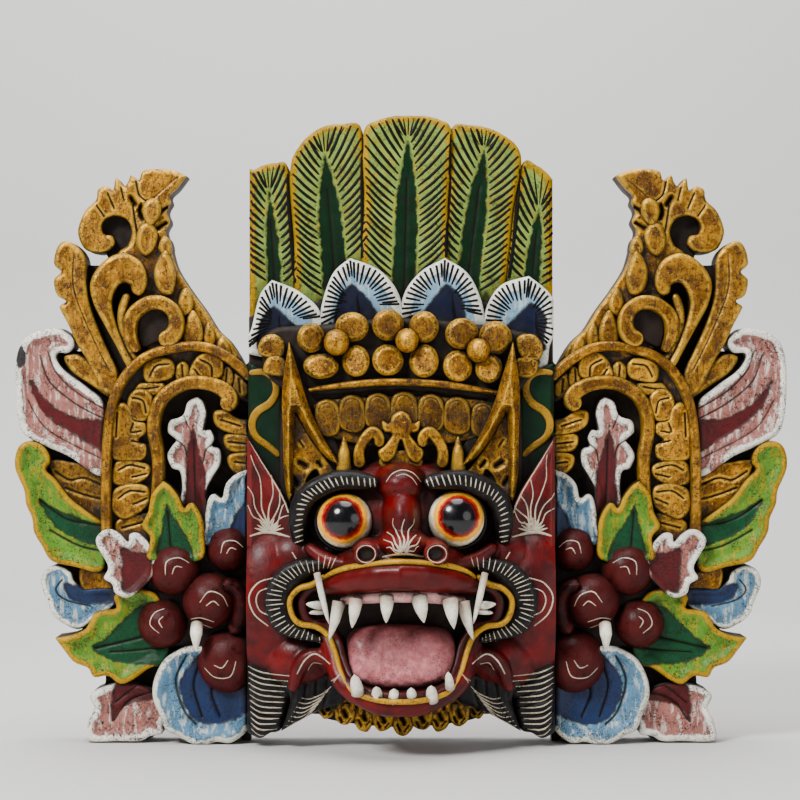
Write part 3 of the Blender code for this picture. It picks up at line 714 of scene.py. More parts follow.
def add_mouth(work):
    """Open jaws: upper lip and gum, lower lip, dark throat, tongue and pointed teeth."""
    lip = [(320, 590), (336, 585), (362, 580), (401, 577), (440, 580), (464, 584), (480, 590)]
    ribbon(work["lip"], lip, [12, 24, 27, 27, 27, 24, 12], [96, 112, 124, 131, 124, 112, 96],
           rounded(11, 8), base=40, across=15)
    edge = [(322, 580), (336, 572), (360, 566), (401, 562), (440, 565), (464, 571), (476, 579)]
    ribbon(work["yellow"], edge, [4, 5, 5, 5, 5, 5, 4], [94, 110, 121, 128, 121, 110, 94],
           rounded(2.5, 2), base=60)
    ribbon(work["gum"], [(340, 600), (372, 597), (401, 596), (432, 597), (466, 602)],
           [9, 13, 13, 13, 9], [98, 112, 119, 112, 98], rounded(6, 5), base=60)
    slab(work["dark_ground"], [(296, 594), (330, 580), (401, 575), (472, 580), (506, 594),
                               (500, 622), (466, 640), (456, 690), (401, 700), (346, 690),
                               (336, 640), (302, 622)], 64, rounded(4, 2), base=20)
    heights = [94, 90, 88, 88, 88, 89, 92, 97, 103, 110, 117, 122, 124]
    inner = [(u + (AXIS - u) * 0.075 + (4 if u < 320 else 0), v - 5 if v > 640 else v)
             for u, v in MOUTH_LINE]
    for name, line, width, drop, radius in (("yellow", MOUTH_LINE, 5.5, 0, 3),
                                            ("inner_lip", inner, 9, 4, 4)):
        fronts = [h - drop for h in heights + heights[-2::-1]]
        ribbon(work[name], line + flipped(line)[-2::-1], [width], fronts, rounded(radius, 2.2),
               base=50)
    tongue = [(347, 640), (356, 630), (376, 625), (401, 624), (426, 626), (446, 630), (455, 644),
              (454, 664), (446, 679), (424, 688), (401, 690), (376, 688), (356, 680), (349, 664)]
    slab(work["tongue"], tongue, 104, rounded(17, 15), base=50, lean=(0, 0.30))
    teeth = work["teeth"]
    for root, tip, radius, deep in UPPER_TEETH:
        middle = ((root[0] + tip[0]) / 2, (root[1] + tip[1]) / 2)
        spike(teeth, [(*root, deep - 3), (*middle, deep + 1), (*tip, deep)],
              [radius, radius * 0.72, 1.2])
    for root, tip, radius in LOWER_TEETH:
        spike(teeth, [(*root, 113), (*tip, 121)], [radius, radius * 0.62])

    def build(side):
        for line, radii in SIDE_TEETH:
            spike(teeth, side(line), radii)
        u, v = side([(366, 554)])[0]
        ribbon(work["skin"], ring_points(u, v, 10, 9, 16), [5], [118], rounded(2.5, 2.2),
               base=70, closed=True)
        slab(work["dark_ground"], ring_points(u, v, 9, 8, 12), 114.2, rounded(2, 1), base=80)
    both_sides(build)


COLLAR_LOBES = [(327, 709, 9), (345, 717, 10), (364, 720, 10), (383, 722, 10), (403, 724, 11),
                (422, 722, 10), (440, 720, 10), (459, 717, 10), (477, 709, 9)]


def add_collar(work):
    """The gold lace collar under the chin: lobes with cut pits, and small curls above them."""
    slab(work["dark_ground"], [(318, 690), (484, 690), (488, 706), (470, 720), (401, 727),
                               (332, 720), (314, 706)], 42, rounded(3, 2), base=0.5)
    for k, (u, v, size) in enumerate(COLLAR_LOBES):
        drop = (1.1, 0.8, 1.2, 0.95)[k % 4]
        outline = [(u - size, v - 14), (u - size, v), (u - size * 0.6, v + size * drop * 0.75),
                   (u + (k % 3 - 1) * 2, v + size * drop), (u + size * 0.6, v + size * drop * 0.7),
                   (u + size, v), (u + size, v - 14)]
        slab(work["gold"], outline, 51 + (k % 2) * 2.5, rounded(3.5, 3), base=20, spacing=1.6,
             grooves=[([(u - 1, v - 6), (u + 1, v - 1)], 2.2, 5),
                      ([(u - size * 0.5, v + 1), (u - size * 0.3, v + size * 0.5)], 1.5, 3),
                      ([(u + size * 0.2, v + size * 0.6), (u + size * 0.5, v + 2)], 0.9, 1.2)],
             tone=CHANCE.uniform(-1.6, 0.8))
    for k in range(8):
        turn = (k - 3.5) / 3.5
        u, v = AXIS + 76 * turn, 710 - 9 * turn * turn
        curl = [(u - 7, v + 7), (u - 7, v - 3), (u, v - 7), (u + 6, v - 3), (u + 5, v + 4)]
        ribbon(work["gold"], curl, [5, 6, 7, 6, 5], [57], rounded(3, 2.4), base=30, tone=0.3,
               step=1.5)


# Left wing, on the drawing. The right wing is its mirror image.
WING_GROUND = [(162, 190), (146, 188), (110, 202), (94, 224), (108, 262), (80, 268), (82, 300),
               (100, 345), (70, 352), (42, 360), (34, 384), (48, 428), (36, 452), (42, 500),
               (58, 545), (66, 598), (88, 612), (80, 640), (104, 664), (104, 700), (104, 738),
               (150, 738), (160, 726), (176, 730), (200, 738), (238, 738), (266, 716), (266, 384),
               (236, 370), (212, 340), (194, 314), (174, 288), (165, 250), (158, 215)]
PLUME = [(187, 176), (187, 176), (172, 170), (152, 169), (142, 172), (139, 180), (131, 175),
         (128, 182), (124, 186), (116, 178), (113, 190), (106, 186), (98, 190), (96, 200),
         (86, 210), (80, 222), (78, 234), (84, 248), (95, 253), (108, 252), (115, 244), (112, 236),
         (104, 234), (102, 226), (106, 219), (116, 216), (127, 220), (132, 232), (128, 245),
         (118, 258), (140, 300), (150, 352), (252, 392), (247, 370), (232, 344), (218, 330),
         (206, 311), (190, 289), (177, 268), (171, 248), (166, 232), (170, 222), (167, 212),
         (171, 203), (170, 196), (178, 188)]
# Each cut: its path, width and depth.
PLUME_CUTS = [
    ([(131, 198), (135, 204)], 2.6, 6), ([(141, 206), (140, 212), (143, 218)], 2.4, 6),
    ([(160, 212), (167, 207)], 2.0, 5), ([(158, 228), (166, 223)], 2.0, 5),
    ([(121, 188), (124, 200)], 1.1, 1.6), ([(108, 194), (114, 208)], 1.1, 1.6),
    ([(97, 206), (104, 216)], 1.1, 1.6), ([(136, 182), (140, 196), (152, 204)], 1.1, 1.6),
    ([(133, 206), (136, 226), (141, 246)], 1.2, 1.8), ([(150, 200), (152, 214)], 1.1, 1.4),
    ([(176, 178), (160, 192), (152, 200)], 1.0, 0.8),
]
STEM = [(65, 241), (77, 246), (86, 259), (87, 281), (90, 302), (98, 327), (108, 350), (118, 372),
        (116, 394), (104, 392), (95, 376), (87, 360), (77, 344), (69, 326), (61, 311), (60, 306),
        (66, 301), (57, 295), (54, 280), (61, 272), (54, 264), (57, 248)]
CROOK = [(128, 368), (116, 346), (105, 326), (94, 305), (90, 285), (96, 270), (108, 258),
         (124, 253), (139, 260), (146, 272), (147, 285), (141, 295), (133, 293), (130, 285),
         (122, 283), (115, 291), (112, 305), (117, 326), (125, 346), (134, 364)]
THIN_STEM = [(124, 294), (130, 296), (127, 309), (126, 324), (132, 344), (138, 358), (132, 362),
             (122, 345), (117, 326), (118, 308)]
# Each band: its path, its widths and its fronts.
WING_BANDS = [
    ([(137, 352), (130, 334), (132, 316), (146, 304), (162, 303), (174, 313), (176, 328),
      (169, 338), (159, 336)], [8, 12, 14, 14, 14, 14, 15, 17, 18], [42, 42, 43]),
    ([(106, 540), (106, 464), (110, 415), (120, 384), (142, 359), (173, 348), (204, 347),
      (228, 358), (252, 379)], [10, 9.5, 9.5, 9.5, 10], [42]),
    ([(154, 526), (158, 464), (153, 426), (161, 399), (183, 384), (206, 383), (224, 390),
      (230, 400), (222, 408)], [11, 11, 12, 12, 13, 14, 18], [40, 40, 42]),
]
# Each leaflet: its outline, front, and tone, which also carries painted shade.
LEAFLETS = [
    ([(165, 250), (172, 262), (176, 278), (172, 294), (162, 294), (155, 282), (155, 266)], 37, 0.6),
    ([(186, 288), (193, 300), (192, 312), (184, 316), (178, 306), (180, 294)], 34, 0.1),
    ([(192, 310), (201, 322), (203, 338), (196, 350), (184, 346), (184, 328)], 36, 0.5),
    ([(208, 322), (215, 332), (214, 346), (206, 350), (202, 338)], 33, 0.0),
    ([(222, 336), (230, 346), (232, 360), (222, 358), (216, 346)], 32, -0.3),
    ([(64, 357), (78, 354), (94, 366), (108, 386), (110, 398), (92, 386), (72, 372)], 31, 0.3),
    ([(152, 198), (160, 202), (160, 216), (150, 226), (143, 216), (144, 204)], 35, 0.5),
    ([(140, 226), (150, 222), (158, 234), (154, 250), (144, 256), (136, 244)], 34, 0.2),
    ([(163, 236), (170, 240), (172, 252), (164, 256), (158, 248)], 34, -0.2),
]
ARCH_FLOOR = [(104, 540), (104, 464), (108, 415), (118, 384), (141, 358), (173, 347), (204, 346),
              (228, 357), (252, 378), (252, 402), (226, 392), (206, 383), (183, 384), (161, 399),
              (153, 426), (159, 464), (150, 540)]
# Each leaf of the arch: its outline, front and cuts.
ARCH_LEAVES = [
    ([(143, 374), (145, 363), (156, 357), (169, 358), (175, 366), (172, 378), (158, 382),
      (147, 382)], 37, [[(150, 376), (156, 366), (168, 364)]]),
    ([(133, 395), (138, 384), (150, 382), (165, 383), (163, 392), (150, 397), (140, 398)], 35,
     [[(140, 390), (158, 387)]]),
    ([(175, 369), (182, 361), (189, 365), (190, 380), (178, 384)], 35, [[(182, 366), (183, 378)]]),
    ([(189, 379), (192, 364), (200, 354), (211, 350), (221, 355), (224, 368), (220, 378),
      (206, 381)], 38, [[(201, 360), (211, 366), (212, 377)], [(195, 370), (201, 378)]]),
    ([(220, 379), (223, 368), (231, 366), (234, 378), (231, 387), (222, 385)], 35,
     [[(227, 370), (226, 382)]]),
    ([(232, 386), (235, 373), (244, 378), (250, 389), (243, 398), (233, 394)], 34,
     [[(239, 380), (240, 392)]]),
    ([(127, 415), (128, 398), (136, 389), (147, 390), (153, 398), (152, 411), (146, 421),
      (135, 421)], 37, [[(134, 398), (143, 401), (146, 412)]]),
    ([(109, 447), (108, 424), (113, 409), (122, 402), (131, 409), (134, 420), (145, 423),
      (147, 432), (139, 440), (147, 446), (144, 459), (128, 461), (113, 459)], 38,
     [[(133, 424), (131, 432), (141, 431)], [(133, 441), (142, 443)], [(117, 414), (116, 436)]]),
    ([(112, 482), (113, 466), (122, 458), (141, 461), (151, 467), (150, 475), (140, 483),
      (126, 487)], 36, [[(119, 470), (130, 465), (144, 468)], [(133, 477), (146, 474)]]),
    ([(111, 508), (113, 491), (126, 484), (141, 484), (150, 490), (149, 505), (138, 514),
      (122, 519)], 38, [[(119, 498), (130, 491), (144, 492)], [(134, 504), (146, 499)]]),
    ([(115, 540), (115, 522), (130, 515), (147, 512), (151, 520), (149, 546), (118, 549)], 35,
     [[(122, 528), (144, 522)]]),
]
SEAM_LEAVES = [
    ([(214, 412), (226, 410), (236, 416), (248, 420), (262, 420), (262, 434), (234, 434),
      (216, 426)], 34, [[(222, 420), (240, 426)]]),
    ([(224, 436), (236, 433), (262, 438), (262, 450), (238, 453), (226, 448)], 33,
     [[(230, 442), (248, 444)]]),
    ([(228, 456), (242, 452), (262, 455), (262, 474), (242, 476), (230, 468)], 34,
     [[(236, 462), (250, 464)]]),
]
FLAME_LEAF = [(197, 397), (197, 397), (188, 402), (184, 414), (178, 418), (170, 421), (168, 432),
              (176, 440), (172, 446), (167, 456), (172, 468), (180, 472), (182, 490), (178, 520),
              (206, 520), (206, 492), (212, 478), (220, 464), (220, 450), (212, 446), (214, 438),
              (210, 430), (204, 430), (206, 414), (203, 402)]
PINK_SCROLL = [(74, 339), (66, 332), (56, 328), (34, 333), (20, 346), (15, 376), (19, 424),
               (34, 441), (68, 456), (102, 476), (104, 440), (104, 404), (88, 388), (66, 372),
               (57, 360), (58, 353), (68, 353), (74, 347)]
GREEN_LEAF = [(48, 452), (40, 444), (28, 441), (18, 448), (15, 467), (24, 490), (26, 504),
              (32, 518), (34, 532), (42, 546), (52, 561), (76, 567), (98, 572), (107, 560),
              (107, 524), (102, 521), (88, 512), (70, 498), (56, 480), (46, 470), (50, 462)]
BLUE_SCROLL = [(74, 581), (70, 571), (58, 565), (45, 570), (41, 584), (48, 602), (52, 614),
               (64, 624), (80, 629), (98, 618), (116, 604), (116, 590), (96, 588), (84, 589)]
SMALL_PINK = [(96, 543), (101, 532), (110, 529), (120, 534), (128, 542), (130, 534), (140, 534),
              (152, 548), (156, 570), (132, 596), (116, 594), (112, 584), (104, 578), (108, 566)]
UPRIGHT_GREEN = [(163, 481), (163, 481), (152, 494), (148, 512), (142, 526), (150, 538), (150, 560),
                 (200, 560), (204, 534), (202, 518), (194, 504), (188, 504), (184, 508),
                 (178, 496), (170, 486)]
UPPER_BLUE = [(204, 545), (204, 524), (208, 500), (214, 494), (222, 498), (226, 484), (236, 474),
              (250, 469), (266, 467), (266, 550)]
LOWER_GREEN = [(55, 638), (55, 638), (72, 635), (86, 628), (94, 614), (104, 610), (116, 608),
               (114, 597), (122, 590), (140, 588), (158, 596), (170, 630), (166, 662), (150, 668),
               (132, 680), (120, 684), (108, 676), (94, 677), (88, 668), (74, 662), (64, 650)]
BOTTOM_PINK = [(88, 740), (88, 722), (94, 708), (90, 696), (100, 688), (124, 682), (152, 690),
               (168, 712), (164, 724), (162, 734), (150, 736), (140, 741), (120, 741)]
BOTTOM_BLUE = [(192, 646), (176, 651), (163, 661), (154, 680), (153, 698), (160, 716), (166, 730),
               (178, 736), (188, 742), (202, 746), (216, 742), (230, 743), (242, 736), (250, 728),
               (266, 720), (266, 648), (220, 648)]
# Each berry: its middle, size and front, and the turn of its painted swirl.
BERRIES = [(172, 571, 26.5, 52, 0), (227, 551, 23, 50, 0.2), (208, 603, 28, 56, 0.6),
           (160, 626, 25, 50, -0.9), (227, 664, 32, 54, 3.4)]


def add_wing_gold(ground, gold):
    """The wing's dark ground and its gold: plume, bands, stems, leaflets and arch leaves."""
    slab(ground, WING_GROUND, 18, rounded(2, 1), base=0.2, spacing=4)
    slab(gold, PLUME, 29, rounded(4, 3.2), base=0, tone=0.3, grooves=PLUME_CUTS)
    for path, widths, fronts in WING_BANDS:
        ribbon(gold, path, widths, fronts, rounded(3.6, 2.6), base=10,
               tone=CHANCE.uniform(-0.2, 0.6), across=11)
    slab(ground, [(138, 330), (141, 315), (152, 308), (164, 310), (170, 322), (166, 336),
                  (152, 344), (142, 346)], 32, rounded(2, 1), base=8)
    for outline, front, tone in LEAFLETS:
        slab(gold, outline, front, rounded(5, 3.6), base=8, tone=tone)
    # On this wing the arch floor and the arch leaves get a dark tone, painted shade on gold that
    # lies back; the mirrored wing takes the opposite tone.
    slab(gold, ARCH_FLOOR, 30, rounded(2, 1), base=8, tone=-2.6, spacing=3)
    for outline, front, cuts in ARCH_LEAVES + SEAM_LEAVES:
        slab(gold, outline, front, rounded(3.6, 2.8), base=8, spacing=1.7,
             tone=CHANCE.uniform(-1.8, -0.5), grooves=[(path, 1.1, 1.8) for path in cuts])
    stem_cut = [([(74, 254), (74, 290), (92, 336), (110, 372)], 1.0, 0.9)]
    for outline, front, cuts in ((STEM, 35, stem_cut), (CROOK, 40, []), (THIN_STEM, 37, [])):
        slab(gold, outline, front, rounded(5, 3.6), base=8, grooves=cuts, tone=0.3, spacing=1.7)
    # This low gold gets a dark tone as painted shade.
    slab(gold, [(48, 462), (76, 462), (112, 468), (118, 520), (88, 516), (64, 494)], 27,
         rounded(3, 2), base=8, tone=-2.4,
         grooves=[([(56, 472), (70, 480), (84, 478), (104, 486)], 1.2, 1.8),
                  ([(66, 488), (82, 494), (104, 500)], 1.2, 1.6)])
    slab(gold, [(80, 568), (96, 568), (110, 574), (112, 590), (84, 590)], 27, rounded(3, 2),
         base=8, tone=-0.2)


def add_leaves(pink, green, blue):
    """The wing's painted leaves and scrolls, from the flame leaf down to the lowest ones."""
    slab(pink, FLAME_LEAF, 35, dished(3, 2.4, 2.5, 9), base=8, open_end=(192, 524, 18),
         heart=[(193, 430), (199, 452), (206, 480), (204, 525), (184, 525), (186, 480), (188, 450)],
         grooves=[([(194, 440), (196, 520)], 1.4, 1.4),
                  ([(176, 440), (184, 446), (187, 456)], 1.1, 1.6),
                  ([(184, 416), (189, 428)], 1.0, 1.2), ([(206, 418), (203, 430)], 1.0, 1.2),
                  ([(213, 444), (206, 450), (204, 460)], 1.1, 1.6)])
    slab(pink, PINK_SCROLL, 33, dished(4, 3, 3.2, 15), open_end=(105, 438, 38),
         heart=[(30, 380), (48, 402), (76, 418), (106, 424), (106, 452), (80, 438), (52, 420),
                (36, 400)],
         grooves=[([(48, 352), (56, 372), (76, 392), (106, 410)], 1.3, 1.3),
                  ([(40, 356), (50, 382), (76, 404), (106, 420)], 1.3, 1.3),
                  ([(28, 400), (48, 430), (100, 458)], 1.3, 1.0)])
    slab(green, GREEN_LEAF, 36, dished(4, 3, 3.5, 14), open_end=(118, 546, 28),
         heart=[(40, 500), (62, 512), (90, 522), (120, 528), (120, 546), (88, 543), (60, 530),
                (48, 516)],
         grooves=[([(40, 500), (70, 520), (118, 528)], 1.3, 1.5),
                  ([(50, 530), (80, 546), (110, 552)], 1.6, 1.6)])
    slab(blue, BLUE_SCROLL, 30, dished(3, 2.4, 2.4, 9), open_end=(118, 600, 14),
         heart=[(64, 584), (80, 586), (118, 590), (118, 602), (88, 604), (70, 598)],
         grooves=[([(62, 580), (56, 590), (66, 600), (90, 606)], 1.3, 1.5)])
    slab(pink, SMALL_PINK, 44, dished(3, 2.4, 2.4, 9), base=8, open_end=(150, 585, 22),
         heart=[(122, 548), (134, 552), (152, 556), (146, 584), (124, 592), (122, 570)])
    slab(green, UPRIGHT_GREEN, 45, dished(3.5, 2.8, 3, 10), base=8, open_end=(175, 562, 27),
         heart=[(167, 504), (167, 504), (176, 522), (188, 540), (192, 562), (158, 562), (162, 530)],
         grooves=[([(168, 512), (172, 560)], 1.3, 1.4)])
    slab(blue, UPPER_BLUE, 39, dished(4, 3, 3, 12), base=8, open_end=(250, 552, 48),
         heart=[(268, 492), (248, 500), (234, 520), (230, 550), (268, 550)])
    slab(green, LOWER_GREEN, 37, dished(4, 3, 4, 15), open_end=(166, 630, 34),
         heart=[(92, 648), (104, 640), (122, 622), (142, 606), (170, 606), (170, 660), (140, 664),
                (112, 660)],
         grooves=[([(96, 648), (130, 640), (168, 630)], 1.5, 2.0),
                  ([(110, 652), (140, 650), (168, 646)], 1.2, 1.4)])
    slab(pink, BOTTOM_PINK, 33, dished(4, 3, 2.5, 13), open_end=(140, 680, 26),
         heart=[(112, 722), (112, 722), (124, 706), (150, 700), (166, 700), (160, 684), (120, 682),
                (112, 700)],
         grooves=[([(114, 720), (130, 700), (160, 690)], 1.4, 1.8),
                  ([(116, 702), (136, 686)], 1.2, 1.4)])
    slab(blue, BOTTOM_BLUE, 41, dished(5, 4, 4, 18), open_end=(235, 646, 34),
         heart=[(188, 668), (180, 686), (186, 708), (200, 722), (226, 722), (262, 700), (262, 650),
                (210, 650)],
         grooves=[([(186, 656), (176, 680), (184, 710), (196, 724)], 1.7, 2.2),
                  ([(200, 664), (194, 686), (202, 716)], 1.5, 2.0),
                  ([(216, 674), (212, 694), (220, 716)], 1.5, 2.0)])


def add_wing(work):
    """The left wing: gold, leaves, and a bunch of berries with a white thorn."""
    add_wing_gold(work["wing_ground"], work["wing_gold"])
    add_leaves(work["pink_leaves"], work["green_leaves"], work["blue_wing_leaves"])
    slab(work["wing_ground"], [(152, 545), (200, 548), (266, 535), (266, 692), (210, 692),
                               (182, 648), (150, 650)], 30, rounded(3, 2), base=8)
    for u, v, size, front, _ in BERRIES:
        lump(work["berries"], u, v, size, size, front, 22, tone=CHANCE.uniform(-0.4, 0.4))
    ribbon(work["berries"], [(222, 584), (234, 588), (241, 600), (240, 618), (232, 634)],
           [12, 14, 16, 17, 14], [56, 53, 50, 48], rounded(8, 7), base=20, across=13)
    spike(work["teeth"], [(197, 624, 50), (196, 634, 56), (196, 652, 55)], [6, 6, 1.2])


# Painted lines.
def sights(carvings):
    """The carved surfaces that the painted lines are laid on."""
    points = []
    faces = []
    for carving in carvings:
        start = sum(len(p) for p in points)
        points += carving.points
        faces += [tuple(k + start for k in face) for face in carving.faces]
    return BVHTree.FromPolygons([tuple(p) for p in np.concatenate(points)], faces)


# How deep a painted line lies in the carving, as a share of its half width.
STROKE_SINK = 0.62


class Strokes:
    """Painted lines, each with its points and their half widths."""

    def __init__(self, ground):
        self.ground = ground
        self.lines = []

    def lay(self, path, widths, jump=5.0):
        """Lays a line on the carving, seen from the front, as far as a step of this depth."""
        line = smooth_line(path, closed=False)
        half = along(widths, np.linspace(0, 1, len(line))) / 2 * UNIT
        run = []
        for spot, size in zip(line, half):
            aim = Vector(place([spot], VIEW_PLANE)[0]) - EYE
            hit, normal, _, _ = self.ground.ray_cast(EYE, aim)
            if hit is None:
                continue
            if run and abs(hit.y - run[-1][0].y) > jump * DEPTH_UNIT:
                break
            if normal.y > 0:
                normal = -normal
            run.append((hit - normal * size * STROKE_SINK, size))
        if len(run) > 1:
            self.lines.append(run)

    def mirrored(self):
        """The same lines on the other wing."""
        twin = Strokes(None)
        twin.lines = [[(Vector((-p.x, p.y, p.z)), size) for p, size in run] for run in self.lines]
        return twin


def under_arch(spots):
    """Which drawing points an arch covers."""
    covers = [inside(spots, smooth_line(outline, 3)) for outline, _, _ in ARCHES]
    return np.any(covers, axis=0)


def feather_barbs(strokes):
    """Dark barbs on both sides of each feather's heart, and a small fan at its tip."""
    for outline, _, tip, base, wide in FEATHERS:
        line = smooth_line(outline, 2)
        run = np.array(base, float) - tip
        length = np.linalg.norm(run)
        run /= length
        side = np.array((-run[1], run[0]))
        for way in (-1, 1):
            at = -4.0
            while at < length + 40:
                share = min(max(at / length, 0), 1)
                half = wide * 0.5 * min(1, share * 2.4) ** 0.7 + 2
                start = np.array(tip) + run * at + side * way * half
                steep = math.radians(22 + 25 * min(max(at + 10, 0) / 60, 1))
                aim = side * way * math.sin(steep) - run * math.cos(steep)
                reach = np.array([start + aim * d for d in np.arange(0, 70, 1.0)])
                fits = inside(reach, line) & (distance(reach, line) > 2.2) & ~under_arch(reach)
                if fits[0] and fits.sum() > 5:
                    last = reach[np.argmin(fits) - 1 if not fits.all() else -1]
                    bow = (start + last) / 2 + run * 1.5
                    strokes.lay([tuple(start), tuple(bow), tuple(last)], [2.4, 4.8, 4.4, 2.4])
                at += CHANCE.uniform(6.4, 8.0)
        for k in range(-3, 4):
            start = np.array(tip) - run * 2 + side * k * 1.2
            turn = math.radians(k * 12)
            aim = side * math.sin(turn) - run * math.cos(turn)
            reach = np.array([start + aim * d for d in np.arange(0, 60, 1.0)])
            fits = inside(reach, line) & (distance(reach, line) > 2.6)
            if fits[3] and fits.sum() > 6:
                last = reach[:40][fits[:40]][-1]
                strokes.lay([tuple(start + aim * 3), tuple(last)], [1.2, 2.6, 1.4])


def feather_gaps(strokes):
    """Dark lines where two feathers meet."""
    for path in ([(287.5, 174), (288.5, 200), (291.5, 240), (294.5, 283)],
                 [(363, 135), (362, 170), (362, 215), (362, 258)],
                 [(451, 134), (450, 170), (448, 215), (446, 257)],
                 [(520, 169), (518, 200), (514, 240), (509, 278)]):
        strokes.lay(path, [3, 5.5, 5.5, 5])


def arch_rays(strokes):
    """Dark rays round each arch, and a line down its heart."""
    for outline, tip, base in ARCHES:
        line = smooth_line(outline[:-1], 5.8, closed=False)
        centre = np.array(tip) * 0.35 + np.array(base) * 0.65
        for spot in line:
            aim = centre - spot
            far = np.linalg.norm(aim)
            aim /= far
            start = spot + aim * CHANCE.uniform(1.5, 3)
            stop = spot + aim * min(CHANCE.uniform(17, 24), far * 0.72)
            strokes.lay([tuple(start), tuple(stop)], [3.6, 3.8, 2.2])
        u, v = tip
        strokes.lay([(u + 7, v + 36), (u + 8, v + 50), (u + 11, v + 66)], [1.5, 5, 3])


# Painted lines of the face: each with its points and its widths. Those of a side are the left's.
SIDE_LINES = [([(249, 441), (263, 464), (283, 498), (294, 532)], [1.2, 2, 2.2, 2]),
              ([(250, 536), (268, 532), (290, 537)], [2, 5, 2]),
              ([(273, 578), (258, 583), (249, 597), (254, 614), (268, 626)], [1.5, 2.4, 2.4, 1.6]),
              ([(268, 588), (259, 592), (256, 601), (260, 611), (268, 615)], [1.2, 2, 1.6]),
              ([(297, 674), (305, 660), (316, 654), (330, 664)], [1.5, 2.4, 2.4, 1.5]),
              ([(308, 670), (313, 663), (322, 664)], [1.2, 2.2, 1.2]),
              ([(292, 552), (298, 562)], [1.5, 2, 1])]
MIDDLE_LINES = [([(382, 557), (403, 554), (426, 557)], [2, 5, 2]),
                ([(386, 482), (392, 474), (402, 470), (413, 473), (421, 482)],
                 [1.0, 1.8, 2.4, 2.2, 1.0]),
                ([(396, 476), (404, 474), (412, 478), (417, 485)], [0.9, 1.6, 1.6, 0.9])]


def flames(strokes, root, turns, lengths, shares, sway, waves, widths):
    """A fan of wavy lines that rise from one root. Turns are in degrees from upright."""
    for k, (degrees, length) in enumerate(zip(turns, lengths)):
        turn = math.radians(degrees)
        points = []
        for share in shares:
            swing = sway * math.sin(share * waves + k)
            points.append((root[0] + math.sin(turn) * length * share + math.cos(turn) * swing,
                           root[1] - math.cos(turn) * length * share + math.sin(turn) * swing))
        strokes.lay(points, widths)


def ear_flames(strokes, root):
    """Wavy lines up an ear, and a small fan round their root."""
    way = 1 if root[0] < AXIS else -1
    flames(strokes, root, [(-42 + 15 * k) * way for k in range(7)], (42, 56, 78, 74, 58, 42, 30),
           (0.08, 0.3, 0.5, 0.7, 0.88, 1.0), 2.2, 9, [2.8, 1.9, 1.6, 1.0])
    for k, far in enumerate((15, 14, 15, 16, 17, 16, 15, 14, 15)):
        turn = math.radians(-76 + 19 * k) * way
        strokes.lay([(root[0] + math.sin(turn) * 3, root[1] + 1 - math.cos(turn) * 2),
                     (root[0] + math.sin(turn) * far, root[1] - math.cos(turn) * far * 0.8)],
                    [3.0, 3.0, 1.0])


def brow_hairs(strokes, path):
    """Short strokes across a brow."""
    brow = smooth_line(path, 5.2, closed=False)
    ahead = np.gradient(brow, axis=0)
    for spot, run in zip(brow[1:-1], ahead[1:-1]):
        across = np.array((-run[1], run[0])) / np.linalg.norm(run)
        turn = across + run / np.linalg.norm(run) * 0.25
        reach = CHANCE.uniform(5, 7.5)
        strokes.lay([tuple(spot - turn * reach * CHANCE.uniform(0.4, 0.8)),
                     tuple(spot + turn * reach * 0.8)], [1.0, 2.3, 1.0])


def fringe_hairs(strokes, path, centre):
    """Strokes that spread out from a centre along the hair round a cheek."""
    for spot in smooth_line(path, 4.4, closed=False)[1:-1]:
        aim = spot - centre + (0, CHANCE.uniform(-5, 5))
        aim /= np.linalg.norm(aim)
        reach = CHANCE.uniform(8, 12)
        strokes.lay([tuple(spot - aim * reach * CHANCE.uniform(0.2, 0.6)),
                     tuple(spot + aim * reach + (0, 1.0))], [0.9, 1.6, 0.7])


def beard_hairs(strokes, side):
    """Curved strokes on the outer and the inner beard lock."""
    for k in range(12):
        u, v = 248 + 0.3 * k, 666 + 5.7 * k
        far = 42 - 1.7 * k + CHANCE.uniform(-2, 2)
        strokes.lay(side([(u, v), (u + far * 0.35, v + 6.5), (u + far, v + 10 - k * 0.4)]),
                    [1.0, 2.2, 1.9, 1.0], jump=9)
    for k in range(10):
        u, v = 341 - 3.2 * k, 673 + 4.4 * k
        end = (309 - 2.6 * k, 684 + 4.6 * k)
        strokes.lay(side([(u, v), (u - 8, v + 7), (end[0] + 9, end[1] + 1), end]),
                    [0.8, 1.9, 1.8, 0.8], jump=9)


def white_lines(strokes):
    """The white lines of the face: flames, hairs and the rings of the nostrils."""
    def build(side):
        ear_flames(strokes, side([(269, 531)])[0])
        for path, widths in SIDE_LINES:
            strokes.lay(side(path), widths)
        brow_hairs(strokes, side(BROW))
        fringe_hairs(strokes, side(FRINGE), np.array(side([(318, 603)])[0]))
        beard_hairs(strokes, side)
    both_sides(build)
    flames(strokes, (403, 555), [-64 + 16 * k for k in range(9)],
           (18, 25, 33, 38, 36, 38, 33, 25, 18), (0.1, 0.4, 0.65, 0.85, 1.0), 1.6, 10,
           [4.2, 2.4, 1.8, 1.2])
    for path, widths in MIDDLE_LINES:
        strokes.lay(path, widths)
    for u in (366, 437):
        ring = ring_points(u, 554, 9.6, 8.6, 12)
        strokes.lay(ring + ring[:1], [1.3, 1.3])


def wing_lines(strokes):
    """A white swirl on each berry, and two strokes above the thorn."""
    arcs = (((-0.25, 0.15), (-0.2, -0.35), (0.25, -0.5), (0.65, -0.3)),
            ((0.0, 0.12), (0.12, -0.16), (0.38, -0.14)))
    for u, v, size, _, turn in BERRIES:
        for arc in arcs:
            points = [(u + size * (a * math.cos(turn) - b * math.sin(turn)),
                       v + size * (a * math.sin(turn) + b * math.cos(turn))) for a, b in arc]
            strokes.lay(points, [1.0, 1.9, 1.7, 1.0])
    strokes.lay([(188, 620), (200, 618), (214, 622)], [1.2, 2.2, 1.2])
    strokes.lay([(190, 626), (200, 624), (212, 628)], [1.2, 1.8, 1.2])


def new_object(name, data):
    """An object in the scene that holds this data."""
    made = bpy.data.objects.new(name, data)
    bpy.context.collection.objects.link(made)
    return made


